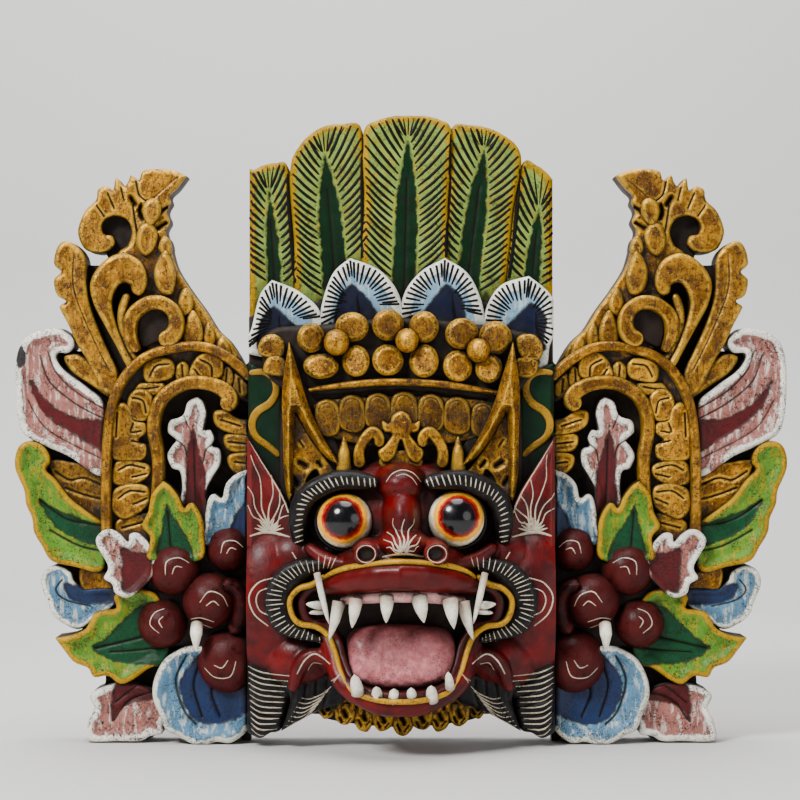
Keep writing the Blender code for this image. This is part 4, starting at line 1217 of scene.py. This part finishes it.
def evaluated(thing):
    """An object as its modifiers leave it."""
    bpy.context.view_layer.update()
    return thing.evaluated_get(bpy.context.evaluated_depsgraph_get())


def stroke_tree():
    """Geometry nodes that sweep each painted line into a low rounded ridge."""
    tree = bpy.data.node_groups.new("painted_lines", "GeometryNodeTree")
    tree.interface.new_socket("Lines", in_out="INPUT", socket_type="NodeSocketGeometry")
    sides = tree.interface.new_socket("Sides", in_out="INPUT", socket_type="NodeSocketInt")
    sides.default_value = 6
    paint = tree.interface.new_socket("Paint", in_out="INPUT", socket_type="NodeSocketMaterial")
    tree.interface.new_socket("Ridges", in_out="OUTPUT", socket_type="NodeSocketGeometry")
    start = tree.nodes.new("NodeGroupInput")
    curve = tree.nodes.new("GeometryNodeMeshToCurve")
    width = tree.nodes.new("GeometryNodeInputNamedAttribute")
    width.data_type = "FLOAT"
    width.inputs["Name"].default_value = "half_width"
    size = tree.nodes.new("GeometryNodeSetCurveRadius")
    ring = tree.nodes.new("GeometryNodeCurvePrimitiveCircle")
    ring.inputs["Radius"].default_value = 1.0
    sweep = tree.nodes.new("GeometryNodeCurveToMesh")
    sweep.inputs["Fill Caps"].default_value = True
    smooth = tree.nodes.new("GeometryNodeSetShadeSmooth")
    real = tree.nodes.new("GeometryNodeRealizeInstances")
    colour = tree.nodes.new("GeometryNodeSetMaterial")
    end = tree.nodes.new("NodeGroupOutput")
    link = tree.links.new
    link(start.outputs["Lines"], curve.inputs["Mesh"])
    link(curve.outputs["Curve"], size.inputs["Curve"])
    link(width.outputs["Attribute"], size.inputs["Radius"])
    link(start.outputs["Sides"], ring.inputs["Resolution"])
    link(size.outputs["Curve"], sweep.inputs["Curve"])
    link(ring.outputs["Curve"], sweep.inputs["Profile Curve"])
    if "Scale" in sweep.inputs:
        link(width.outputs["Attribute"], sweep.inputs["Scale"])
    link(sweep.outputs["Mesh"], smooth.inputs["Geometry"])
    link(smooth.outputs["Geometry"], real.inputs["Geometry"])
    link(real.outputs["Geometry"], colour.inputs["Geometry"])
    link(start.outputs["Paint"], colour.inputs["Material"])
    link(colour.outputs["Geometry"], end.inputs["Ridges"])
    return tree, sides.identifier, paint.identifier


STROKE_TREE, STROKE_SIDES, STROKE_PAINT = stroke_tree()


def stroke_piece(name, strokes, material, nodes):
    """The painted lines as one mesh."""
    points = []
    edges = []
    sizes = []
    for run in strokes.lines:
        for k, (point, size) in enumerate(run):
            if k:
                edges.append((len(points) - 1, len(points)))
            points.append(tuple(point))
            sizes.append(size)
    mesh = bpy.data.meshes.new(name + "_lines")
    mesh.from_pydata(points, edges, [])
    mesh.attributes.new("half_width", "FLOAT", "POINT").data.foreach_set("value", sizes)
    guide = new_object(name + "_lines", mesh)
    sweep = guide.modifiers.new("sweep", "NODES")
    sweep.node_group = STROKE_TREE
    sweep[STROKE_SIDES] = 6
    sweep[STROKE_PAINT] = material
    made = bpy.data.meshes.new_from_object(evaluated(guide))
    bpy.data.objects.remove(guide)
    made.materials.clear()
    made.materials.append(material)
    finish_piece(new_object(name, made), nodes)


# Joined skin and pieces.
def drop_pockets(wood):
    """Takes away the closed pockets that joining leaves inside a form."""
    wood.normal_update()
    left = set(wood.verts)
    while left:
        part = [left.pop()]
        for vert in part:
            near = [e.other_vert(vert) for e in vert.link_edges]
            fresh = [v for v in near if v in left]
            left.difference_update(fresh)
            part += dict.fromkeys(fresh)
        faces = {f for vert in part for f in vert.link_faces}
        if sum(f.calc_area() * f.normal.dot(f.calc_center_median()) for f in faces) < 0:
            bmesh.ops.delete(wood, geom=part, context="VERTS")


def joined(carving, grid, rounds):
    """One smooth skin from overlapping forms, cut flat at the block's sides and back."""
    mesh = bpy.data.meshes.new("joining")
    mesh.from_pydata([tuple(p) for p in np.concatenate(carving.points)], [], carving.faces)
    thing = new_object("joining", mesh)
    join = thing.modifiers.new("join", "REMESH")
    join.mode = "VOXEL"
    join.voxel_size = grid
    soften = thing.modifiers.new("soften", "SMOOTH")
    soften.iterations = rounds
    wood = bmesh.new()
    wood.from_mesh(evaluated(thing).to_mesh())
    bpy.data.objects.remove(thing)
    for spot, way in (((-HALF_BLOCK, 0, 0), (-1, 0, 0)), ((HALF_BLOCK, 0, 0), (1, 0, 0)),
                      ((0, BACK - 0.0002, 0), (0, 1, 0))):
        cut = bmesh.ops.bisect_plane(wood, geom=wood.verts[:] + wood.edges[:] + wood.faces[:],
                                     plane_co=spot, plane_no=way, clear_outer=True)
        rim = [g for g in cut["geom_cut"] if isinstance(g, bmesh.types.BMEdge)]
        bmesh.ops.holes_fill(wood, edges=rim, sides=0)
    drop_pockets(wood)
    wood.verts.index_update()
    points = np.array([tuple(v.co) for v in wood.verts])
    faces = [tuple(v.index for v in f.verts) for f in wood.faces]
    wood.free()
    return points, faces


def finish_piece(piece, nodes):
    """Declares what a piece rides on and what it stands for."""
    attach(piece, "root")
    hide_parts(*nodes)


def piece_of(name, carving, material, nodes):
    """A mesh piece from a carving, with the measures that its paint reads."""
    mesh = bpy.data.meshes.new(name)
    mesh.from_pydata([tuple(p) for p in np.concatenate(carving.points)], [], carving.faces)
    measures = np.concatenate(carving.measures)
    for k, label in enumerate(("edge", "heart", "groove", "tone")):
        keep_measure(mesh, label, measures[:, k])
    mesh.materials.append(material)
    mesh.shade_smooth()
    mesh.set_sharp_from_angle(angle=math.radians(38))
    piece = new_object(name, mesh)
    finish_piece(piece, nodes)
    return piece


def hemisphere(count):
    """Directions spread over a half ball around +Z."""
    golden_turn = 2.399963
    ways = []
    for k in range(count):
        high = (k + 0.5) / count * 0.85 + 0.12
        flat = math.sqrt(1 - high * high)
        turn = k * golden_turn
        ways.append(Vector((flat * math.cos(turn), flat * math.sin(turn), high)))
    return ways


def keep_measure(mesh, name, values):
    """Writes one number for each point of a mesh."""
    layer = mesh.attributes.new(name, "FLOAT", "POINT")
    layer.data.foreach_set("value", np.asarray(values, np.float32))


def stand_out(mesh, spots):
    """How far each point stands proud of its neighbours, from -1 in a hollow to 1 on a ridge."""
    whole = 0.0004
    edges = np.zeros(len(mesh.edges) * 2, int)
    mesh.edges.foreach_get("vertices", edges)
    edges = edges.reshape(-1, 2)
    total = np.zeros((len(spots), 3))
    uses = np.zeros(len(spots))
    for a, b in ((0, 1), (1, 0)):
        np.add.at(total, edges[:, a], spots[edges[:, b]])
        np.add.at(uses, edges[:, a], 1)
    around = total / np.maximum(uses, 1)[:, None]
    normals = np.array([tuple(v.normal) for v in mesh.vertices])
    return np.clip(((spots - around) * normals).sum(1) / whole, -1, 1)


def shade_recesses(pieces, twins):
    """Measures how closed in each point is. A right wing's piece takes what its twin has."""
    reach = 0.016
    unseen = 0.8
    points = []
    faces = []
    for piece in pieces + [right for right, _ in twins]:
        start = len(points)
        points += [v.co.copy() for v in piece.data.vertices]
        faces += [tuple(k + start for k in f.vertices) for f in piece.data.polygons]
    tree = BVHTree.FromPolygons(points, faces)
    ways = hemisphere(7)
    for piece in pieces:
        mesh = piece.data
        wall = np.zeros(len(mesh.vertices))
        mesh.attributes["edge"].data.foreach_get("value", wall)
        shade = np.full(len(mesh.vertices), unseen)
        for k, vert in enumerate(mesh.vertices):
            normal = vert.normal
            if normal.y > 0.7 or wall[k] < WALL_MARK / 2:
                continue
            turn = normal.to_track_quat("Z", "Y")
            start = vert.co + normal * 0.0006
            shut = [tree.ray_cast(start, turn @ way, reach)[0] is not None for way in ways]
            shade[k] = sum(shut) / len(ways)
        spots = np.array([tuple(v.co) for v in mesh.vertices])
        keep_measure(mesh, "shade", shade)
        keep_measure(mesh, "proud", stand_out(mesh, spots))
    for right, left in twins:
        for name in ("shade", "proud"):
            values = np.zeros(len(left.data.vertices))
            left.data.attributes[name].data.foreach_get("value", values)
            keep_measure(right.data, name, values)


# Paint.
DEEPEN = 1.22
REAL = "NodeSocketFloat"
TINT = "NodeSocketColor"


def colour(red, green, blue):
    """A paint colour given as it looks on a screen, from 0 to 255, deepened for studio light."""
    shares = [c / 255 for c in (red, green, blue)]
    light = [c / 12.92 if c < 0.04045 else ((c + 0.055) / 1.055) ** 2.4 for c in shares]
    return tuple(c ** DEEPEN for c in light) + (1.0,)


class Shading:
    """Short ways to make and join shader nodes."""

    def __init__(self, tree):
        self.tree = tree

    def node(self, kind, **settings):
        made = self.tree.nodes.new(kind)
        for key, value in settings.items():
            setattr(made, key, value)
        return made

    def put(self, socket, value):
        """Gives a socket a value, or links it to another node's output."""
        if isinstance(value, bpy.types.NodeSocket):
            self.tree.links.new(value, socket)
        else:
            socket.default_value = value

    def group(self, tree, **values):
        """A node for a shared group, with values for its inputs."""
        made = self.node("ShaderNodeGroup", node_tree=tree)
        for label, value in values.items():
            self.put(made.inputs[label.replace("_", " ")], value)
        return made.outputs

    def maths(self, kind, *values, clamp=False):
        made = self.node("ShaderNodeMath", operation=kind, use_clamp=clamp)
        for socket, value in zip(made.inputs, values):
            self.put(socket, value)
        return made.outputs[0]

    def plus(self, first, second):
        return self.maths("ADD", first, second)

    def minus(self, first, second):
        return self.maths("SUBTRACT", first, second)

    def times(self, first, second, clamp=False):
        return self.maths("MULTIPLY", first, second, clamp=clamp)

    def sway(self, value, amount):
        """A noise made to swing about zero by this amount."""
        return self.times(self.minus(value, 0.5), amount)

    def highest(self, first, *others):
        for other in others:
            first = self.maths("MAXIMUM", first, other)
        return first

    def mix(self, share, first, second):
        made = self.node("ShaderNodeMix", data_type="RGBA")
        for k, value in ((0, share), (6, first), (7, second)):
            self.put(made.inputs[k], value)
        return made.outputs[2]

    def measure(self, name):
        return self.node("ShaderNodeAttribute", attribute_name=name).outputs["Fac"]

    def parts(self, vector):
        """The X, Y and Z of a vector."""
        made = self.node("ShaderNodeSeparateXYZ")
        self.put(made.inputs[0], vector)
        return made.outputs

    def spot(self):
        """Where a point is on its piece."""
        return self.node("ShaderNodeTexCoord").outputs["Object"]

    def ramp(self, value, low, high, to_low=0.0, to_high=1.0):
        made = self.node("ShaderNodeMapRange", interpolation_type="SMOOTHSTEP")
        for socket, amount in zip(made.inputs, (value, low, high, to_low, to_high)):
            self.put(socket, amount)
        return made.outputs[0]

    def noise(self, scale, detail=3.0, stretch=None, rough=0.55):
        made = self.node("ShaderNodeTexNoise")
        spot = self.spot()
        if stretch:
            mapping = self.node("ShaderNodeMapping")
            mapping.inputs["Scale"].default_value = stretch
            self.put(mapping.inputs["Vector"], spot)
            spot = mapping.outputs[0]
        for label, value in (("Scale", scale), ("Detail", detail), ("Roughness", rough),
                             ("Vector", spot)):
            self.put(made.inputs[label], value)
        return made.outputs["Fac"]


def new_group(name, inputs, outputs):
    """A shader node group with named inputs and outputs, and its sockets inside the group."""
    tree = bpy.data.node_groups.new(name, "ShaderNodeTree")
    for label, kind, value in inputs:
        socket = tree.interface.new_socket(label, in_out="INPUT", socket_type=kind)
        socket.default_value = value
    for label, kind in outputs:
        tree.interface.new_socket(label, in_out="OUTPUT", socket_type=kind)
    start, end = tree.nodes.new("NodeGroupInput"), tree.nodes.new("NodeGroupOutput")
    return Shading(tree), start.outputs, end.inputs


def painted_bands():
    """Bands of paint that follow a leaf's outline, with a painted heart."""
    s, given, out = new_group(
        "painted_bands",
        [("Edge", TINT, (1, 1, 1, 1)), ("Middle", TINT, (1, 1, 1, 1)),
         ("Heart", TINT, (0, 0, 0, 1)), ("Edge Width", REAL, 4.0), ("Wobble", REAL, 2.0),
         ("Seam", REAL, 0.7), ("Streaks", REAL, 0.5)],
        [("Colour", TINT)])
    drift = s.plus(s.sway(s.noise(170, 2), given["Wobble"]), s.sway(s.noise(900, 2), 1.6))
    past = s.minus(s.plus(s.measure("edge"), drift), given["Edge Width"])
    heart = s.plus(s.measure("heart"), drift)
    brushed = s.times(s.ramp(s.noise(1.0, 3, stretch=(300, 300, 70)), 0.5, 0.64),
                      given["Streaks"])
    middle = s.mix(brushed, given["Middle"], given["Edge"])
    tint = s.mix(s.ramp(past, -0.5, 0.7), given["Edge"], middle)
    tint = s.mix(s.ramp(heart, -0.9, 0.6, 1.0, 0.0), tint, given["Heart"])
    seam = s.ramp(s.maths("ABSOLUTE", heart), 0.3, 1.7, 1.0, 0.0)
    ridge = s.ramp(s.maths("ABSOLUTE", past), 0.2, 1.3, 0.35, 0.0)
    s.put(out["Colour"], s.mix(s.times(s.highest(seam, ridge), given["Seam"]), tint,
                               (0.012, 0.008, 0.006, 1)))
    return s.tree


def wash_and_painted_shade():
    """Dark stain and painted shade in the recesses, specks and rubbed places over a paint, and raw
    wood behind.
    """
    s, given, out = new_group(
        "wash_and_painted_shade",
        [("Colour", TINT, (1, 1, 1, 1)), ("Stain", TINT, (0.01, 0.006, 0.004, 1)),
         ("Depth", REAL, 1.0), ("Specks", REAL, 0.5), ("Rub", TINT, (0.6, 0.5, 0.4, 1)),
         ("Rubbed", REAL, 0.3)],
        [("Colour", TINT), ("Stained", REAL)])
    shade, proud, edge = s.measure("shade"), s.measure("proud"), s.measure("edge")
    patch = s.noise(75, 4)
    # Antique stain and painted shade: the paint darkens where a point is closed in or lies in a
    # hollow, and on side walls and in cut lines.
    deep = s.ramp(s.plus(shade, s.sway(patch, 0.5)), 0.3, 0.8)
    hollow = s.ramp(proud, -0.9, -0.2, 0.8, 0.0)
    wall = s.ramp(edge, -3.4, -0.9, 1.0, 0.0)
    cut = s.ramp(s.plus(s.measure("groove"), s.sway(s.noise(400, 2), 0.5)), 0.3, 0.75)
    dark = s.times(s.highest(deep, wall, hollow, cut), given["Depth"], clamp=True)
    grains = s.ramp(s.noise(430, 5, rough=0.8), 0.53, 0.59)
    flecks = s.ramp(s.noise(1000, 2, rough=0.6), 0.55, 0.63)
    spread = s.ramp(s.noise(64, 3), 0.36, 0.60, 0.22, 1.0)
    specks = s.times(s.times(s.highest(grains, flecks), spread), given["Specks"], clamp=True)
    stain_and_shade = s.highest(dark, specks)
    worn = s.ramp(s.plus(proud, s.minus(s.noise(260, 4), 0.62)), 0.1, 0.5)
    # Painted shade: the tone is darkened by up to six tenths where a point is closed in.
    tone = s.plus(s.times(s.measure("tone"), 0.17), 1.0)
    tone = s.times(tone, s.minus(1.0, s.times(shade, 0.6)))
    lit = s.node("ShaderNodeVectorMath", operation="SCALE")
    s.put(lit.inputs[0], given["Colour"])
    s.put(lit.inputs["Scale"], s.times(tone, s.ramp(patch, 0.3, 0.7, 0.8, 1.15)))
    tint = s.mix(s.times(worn, given["Rubbed"], clamp=True), lit.outputs[0], given["Rub"])
    tint = s.mix(stain_and_shade, tint, given["Stain"])
    grain = s.ramp(s.noise(1.0, 4, stretch=(420, 420, 26)), 0.35, 0.68)
    raw = s.mix(grain, colour(112, 80, 52), colour(150, 114, 78))
    raw = s.mix(s.ramp(s.noise(30, 4), 0.5, 0.75, 0.0, 0.5), raw, colour(78, 56, 40))
    s.put(out["Colour"], s.mix(s.ramp(edge, -7.7, -6.6, 1.0, 0.0), tint, raw))
    s.put(out["Stained"], stain_and_shade)
    return s.tree


def brushwork():
    """Brush streaks and fine wood grain, as a height."""
    s, given, out = new_group("brushwork", [("Pits", REAL, 0.35)], [("Height", REAL)])
    pits = s.times(s.noise(1400, 3), given["Pits"])
    soft = s.plus(pits, s.noise(240, 3))
    s.put(out["Height"], s.plus(s.noise(1.0, 3, stretch=(420, 420, 60)), soft))
    return s.tree


BANDS = painted_bands()
WASH_AND_SHADE = wash_and_painted_shade()
BRUSH = brushwork()


def paint(name, rough, tint=None, metal=0.0, depth=1.0, specks=0.4, bump=0.35, coat=0.0,
          gleam=0.3, sheen_rough=0.25, recipe=None, scar=None, bands=None, **wear_and_shade):
    """A lacquered paint: its colour, recipe or bands, with stain and painted shade, specks, rubbing
    and brush marks.
    """
    material = bpy.data.materials.new(name)
    material.use_nodes = True
    s = Shading(material.node_tree)
    shader = material.node_tree.nodes["Principled BSDF"].inputs
    if bands:
        tint = s.group(BANDS, **bands)["Colour"]
    if recipe:
        tint = recipe(s)
    if scar:
        tint = worn_patch(s, tint, *scar)
    wash_and_shade = s.group(WASH_AND_SHADE, Colour=tint, Depth=depth, Specks=specks, **{"Rubbed": 0.0, **wear_and_shade})
    brush = s.group(BRUSH)
    relief = s.node("ShaderNodeBump")
    for label, value in (("Strength", bump), ("Distance", 0.0006), ("Height", brush["Height"])):
        s.put(relief.inputs[label], value)
    patchy = s.ramp(s.noise(120, 3), 0.3, 0.75, rough - 0.07, rough + 0.12)
    dull = s.times(wash_and_shade["Stained"], 0.22)
    for label, value in (("Base Color", wash_and_shade["Colour"]), ("Specular IOR Level", gleam),
                         ("Roughness", s.maths("ADD", patchy, dull, clamp=True)),
                         ("Coat Weight", coat), ("Coat Roughness", sheen_rough),
                         ("Normal", relief.outputs["Normal"])):
        s.put(shader[label], value)
    if metal:
        s.put(shader["Metallic"], s.ramp(wash_and_shade["Stained"], 0.0, 0.8, metal, 0.0))
    return material


def banded(name, rough, edge, middle, heart, width, wobble, seam=0.7, **more):
    """A leaf's paint, in bands that follow its outline. Its colours are from 0 to 255."""
    bands = {"Edge": colour(*edge), "Middle": colour(*middle), "Heart": colour(*heart),
             "Edge_Width": width, "Wobble": wobble, "Seam": seam}
    return paint(name, rough, bands=bands, **more)


def worn_patch(s, base, u, v, wide, tall):
    """A place on the drawing where the paint is worn down to dark wood."""
    spot = s.parts(s.spot())
    total = s.times(s.noise(260, 3), 0.7)
    for axis, middle, half in (("X", (u - AXIS) * UNIT, wide), ("Z", (GROUND - v) * UNIT, tall)):
        far = s.maths("DIVIDE", s.minus(spot[axis], middle), half * UNIT)
        total = s.plus(total, s.times(far, far))
    return s.mix(s.ramp(total, 0.85, 1.25, 1.0, 0.0), base, colour(66, 62, 64))


def gold_recipe(s):
    """Antique gold: leaf and bronze paint over brown, brushed thin and worn in streaks, with a
    painted highlight on raised places.
    """
    tint = s.mix(s.ramp(s.noise(62, 4), 0.36, 0.64), colour(140, 96, 20), colour(210, 156, 36))
    worn = s.ramp(s.noise(300, 6, rough=0.78), 0.49, 0.60, 0.0, 0.85)
    tint = s.mix(worn, tint, colour(78, 44, 14))
    streaks = s.ramp(s.noise(1.0, 3, stretch=(640, 640, 80)), 0.54, 0.68, 0.0, 0.65)
    tint = s.mix(streaks, tint, colour(80, 50, 14))
    flecks = s.ramp(s.noise(520, 4, rough=0.7), 0.58, 0.68, 0.0, 0.7)
    tint = s.mix(flecks, tint, colour(244, 200, 74))
    # Painted highlight: raised places are lit with bright gold.
    painted_highlight = s.plus(s.measure("proud"), s.minus(s.noise(200, 4), 0.55))
    return s.mix(s.ramp(painted_highlight, 0.12, 0.5, 0.0, 0.6), tint, colour(240, 196, 70))


def eye_recipe(s):
    """Rings of paint from the black pupil out to the white of the eye."""
    reach = s.plus(s.measure("edge"), s.sway(s.noise(260, 2), 3.2))
    tint = colour(14, 12, 18)
    for low, high, ring in ((14.5, 16.2, (96, 14, 14)), (17.5, 19.0, (190, 44, 12)),
                            (19.4, 21.4, (255, 194, 50)), (23.6, 25.8, (255, 246, 220)),
                            (32, 36, (60, 16, 18))):
        tint = s.mix(s.ramp(reach, low, high), tint, colour(*ring))
    return tint


def tongue_recipe(s):
    """Pink tongue, darker to the back of the mouth."""
    back = s.ramp(s.parts(s.spot())["Z"], 0.062, 0.094, 0.0, 0.75)
    tint = s.mix(s.ramp(s.noise(200, 3), 0.35, 0.7), colour(196, 120, 124), colour(222, 150, 154))
    return s.mix(back, tint, colour(92, 48, 46))


def tooth_recipe(s):
    """Ivory teeth, stained at the gum."""
    tint = s.mix(s.ramp(s.noise(260, 3), 0.35, 0.65), colour(240, 232, 208), colour(252, 249, 238))
    root = s.ramp(s.measure("edge"), 0.0, 4.5, 0.65, 0.0)
    return s.mix(root, tint, colour(150, 110, 84))


def skin_recipe(s):
    """Maroon lacquer, redder where it is thin and browner where it is thick."""
    tint = s.mix(s.ramp(s.noise(34, 4), 0.35, 0.68), colour(78, 8, 12), colour(128, 14, 16))
    thick = s.ramp(s.noise(1.0, 3, stretch=(70, 70, 340)), 0.55, 0.75)
    return s.mix(thick, tint, colour(98, 28, 34))


def berry_recipe(s):
    """Berries: dull purple brown above, red below, as the light of the glaze shows them."""
    tint = s.mix(s.ramp(s.noise(60, 4), 0.35, 0.68), colour(46, 3, 5), colour(82, 5, 5))
    normal = s.node("ShaderNodeNewGeometry").outputs["Normal"]
    return s.mix(s.ramp(s.parts(normal)["Z"], -0.2, 0.5, 0.0, 0.7), tint, colour(44, 12, 16))


def make_paints():
    """Every paint, by the name of the forms that it covers."""
    return {
        # The gold's stain colour is laid as antique stain and as painted shade in its recesses.
        "gold": paint("antique_gold", 0.42, metal=0.65, specks=0.95, bump=1.0, gleam=0.4,
                      Stain=colour(34, 20, 10), recipe=gold_recipe),
        "skin": paint("maroon_lacquer", 0.4, depth=0.8, specks=0.3, coat=0.08, bump=0.45,
                      gleam=0.2, Rub=colour(168, 84, 80), Rubbed=0.25, recipe=skin_recipe),
        "berries": paint("berry_lacquer", 0.34, depth=0.9, specks=0.35, bump=0.5, gleam=0.12,
                         Rub=colour(150, 74, 72), Rubbed=0.2, recipe=berry_recipe),
        "dark_ground": paint("dark_recess", 0.6, colour(52, 34, 22), depth=0.9, bump=0.6),
        "wood": paint("stained_wood", 0.62, colour(84, 58, 36), depth=0.5, specks=0.3, bump=0.8),
        "feathers": banded("feather_paint", 0.44, (180, 148, 0), (144, 166, 88), (4, 54, 28),
                           6.5, 7.0, seam=0.4, depth=0.9, specks=0.8, bump=0.5, gleam=0.12),
        "green_leaves": banded("green_leaf_paint", 0.44, (192, 156, 0), (112, 156, 56),
                               (0, 88, 54), 5.0, 6.0, depth=0.9, specks=0.85, bump=0.5,
                               gleam=0.2),
        "pink_leaves": banded("pink_leaf_paint", 0.48, (252, 246, 234), (176, 122, 112),
                              (104, 10, 22), 6.6, 6.5, depth=0.85, specks=1.0, bump=0.5,
                              scar=(20, 357, 6, 13)),
        "blue_leaves": banded("blue_leaf_paint", 0.42, (240, 240, 228), (150, 186, 208),
                              (5, 24, 60), 11.0, 4.0, depth=0.85, specks=0.45, bump=0.4),
        "blue_wing_leaves": banded("blue_scroll_paint", 0.42, (240, 240, 226), (108, 150, 176),
                                   (28, 58, 100), 5.0, 6.0, depth=0.9, specks=0.95, bump=0.4),
        "flaps": paint("flap_green", 0.44, colour(3, 56, 32), depth=0.9, specks=0.3, gleam=0.2),
        "yellow": paint("yellow_line", 0.44, colour(204, 158, 0), depth=0.85, specks=0.7),
        "black": paint("black_lacquer", 0.42, colour(22, 20, 22), depth=0.6, specks=0.1,
                       gleam=0.2, bump=0.5, Rub=colour(86, 82, 84), Rubbed=0.2),
        "lip": paint("lip_red", 0.34, colour(106, 4, 4), depth=0.8, specks=0.25, coat=0.12,
                     gleam=0.2, sheen_rough=0.15, bump=0.3),
        "inner_lip": paint("inner_lip_red", 0.4, colour(88, 20, 20), depth=0.85, specks=0.3),
        "gum": paint("gum_pink", 0.38, colour(236, 184, 180), depth=0.85, coat=0.1),
        "tongue": paint("tongue_pink", 0.4, depth=0.85, specks=0.55, coat=0.1, bump=0.45,
                        recipe=tongue_recipe),
        "teeth": paint("tooth_ivory", 0.34, depth=0.9, specks=0.2, coat=0.1, bump=0.25,
                       recipe=tooth_recipe),
        "eyes": paint("eye_enamel", 0.2, depth=0.5, specks=0.08, coat=0.4, sheen_rough=0.08,
                      bump=0.05, recipe=eye_recipe),
        "white": paint("white_line", 0.5, colour(208, 198, 176), depth=0.5, specks=0.5, bump=0.2),
        "barb": paint("black_line", 0.5, colour(16, 15, 17), depth=0.2, specks=0.0, bump=0.2,
                      gleam=0.15),
    }


# Building.
def build_block(work):
    """The plain block that carries the head and the crown."""
    board = [(243, 480), (243, 204), (262, 190), (290, 192), (330, 154), (401, 140), (470, 154),
             (515, 184), (559, 214), (559, 480), (559, 700), (540, 712), (486, 714), (401, 718),
             (316, 714), (262, 712), (243, 700)]
    slab(work["wood"], board, 30, rounded(2, 1), spacing=5)
    slab(work["dark_ground"], [(243, 320), (559, 320), (559, 500), (243, 500)], 40,
         rounded(2, 1), base=20, spacing=5)


def build_head():
    """The forms of the head and crown, by paint."""
    names = ["wood", "dark_ground", "feathers", "blue_leaves", "gold", "flaps", "yellow", "black",
             "skin", "lip", "inner_lip", "gum", "tongue", "teeth", "eyes"]
    work = {name: Carving("block") for name in names}
    for add in (build_block, add_feathers, add_arches, add_flowers, add_frieze, add_sides,
                add_eyes, add_brows, add_mouth, add_collar):
        add(work)
    points, faces = joined(add_skin(), 0.0013, 3)
    work["skin"].add(points, faces, NO_HEART)
    return work


def build_wing():
    """The forms of the left wing, by paint."""
    names = ["wing_ground", "wing_gold", "pink_leaves", "green_leaves", "blue_wing_leaves",
             "berries", "teeth"]
    wing = {name: Carving("wing") for name in names}
    add_wing(wing)
    return wing


def build_all():
    """Every piece of the mask, with its paint and its painted lines."""
    work = build_head()
    wing = build_wing()
    paints = make_paints()
    finishes = {"wing_ground": "dark_ground", "wing_gold": "gold"}
    pieces = [piece_of(name, carving, paints[name], ["mask"]) for name, carving in work.items()]
    twins = []
    for name, carving in wing.items():
        finish = paints[finishes.get(name, name)]
        left = piece_of(name + "_left", carving, finish, ["wing_left"])
        right = piece_of(name + "_right", carving.mirrored(), finish, ["wing_right"])
        pieces.append(left)
        twins.append((right, left))
    barbs = Strokes(sights([work["feathers"], work["blue_leaves"]]))
    for add in (feather_barbs, feather_gaps, arch_rays):
        add(barbs)
    stroke_piece("black_strokes", barbs, paints["barb"], ["mask"])
    whites = Strokes(sights([work["skin"], work["black"]]))
    white_lines(whites)
    stroke_piece("white_strokes", whites, paints["white"], ["mask"])
    swirls = Strokes(sights([wing["berries"]]))
    wing_lines(swirls)
    stroke_piece("berry_swirls_left", swirls, paints["white"], ["wing_left"])
    stroke_piece("berry_swirls_right", swirls.mirrored(), paints["white"], ["wing_right"])
    shade_recesses(pieces, twins)


def build_floor():
    """A pale floor that turns up into a backdrop."""
    half, front, bend, radius, top = 5, -4.0, 1.2, 0.5, 4.0
    rows = [(front, 0.0), (bend, 0.0)]
    rows += [(bend + radius * math.sin(a), radius - radius * math.cos(a))
             for a in np.linspace(0, math.pi / 2, 12)]
    rows.append((bend + radius, top))
    stage = bmesh.new()
    strip = [[stage.verts.new((x, y, z)) for x in (-half, half)] for y, z in rows]
    for a, b in zip(strip, strip[1:]):
        stage.faces.new((a[0], a[1], b[1], b[0]))
    mesh = bpy.data.meshes.new("floor")
    stage.to_mesh(mesh)
    stage.free()
    mesh.shade_smooth()
    material = bpy.data.materials.new("pale_floor")
    material.use_nodes = True
    shader = material.node_tree.nodes["Principled BSDF"]
    shader.inputs["Base Color"].default_value = (0.62, 0.61, 0.60, 1)
    shader.inputs["Roughness"].default_value = 0.8
    mesh.materials.append(material)
    floor = new_object("floor", mesh)


# Each light: its place, the place that it points at, its size and its power.
LIGHTS = {"window": ((-1.3, -1.5, 1.9), (0, 0, 0.25), 0.8, 90),
          "fill": ((1.8, -1.7, 0.7), (0, 0, 0.25), 1.6, 14),
          "top": ((0.1, -0.2, 2.0), (0, 0, 0.2), 1.2, 26),
          "backdrop": ((0, 0.75, 2.3), (0, 1.7, 0.6), 2.0, 58)}


def build_lights():
    """Soft lights in a faintly blue room."""
    world = bpy.data.worlds.new("soft_room")
    world.use_nodes = True
    world.node_tree.nodes["Background"].inputs["Color"].default_value = (0.92, 0.95, 1.0, 1)
    world.node_tree.nodes["Background"].inputs["Strength"].default_value = 0.16
    bpy.context.scene.world = world
    for name, (spot, aim, size, power) in LIGHTS.items():
        light = bpy.data.lights.new(name, "AREA")
        light.shape = "DISK"
        light.size = size
        light.energy = power
        lamp = new_object(name, light)
        lamp.location = spot
        lamp.rotation_euler = (Vector(aim) - Vector(spot)).to_track_quat("-Z", "Y").to_euler()


def build_camera():
    """A camera straight in front, with the photo's field of view."""
    photo_width = 800
    camera = bpy.data.cameras.new("camera")
    camera.sensor_width = 36
    camera.lens = camera.sensor_width * VIEW_DISTANCE / (photo_width * UNIT)
    seat = new_object("camera", camera)
    seat.location = (EYE.x - UNIT, EYE.y, EYE.z + UNIT)
    seat.rotation_euler = (math.pi / 2, 0, 0)
    bpy.context.scene.camera = seat


build_all()
build_floor()
build_lights()
build_camera()
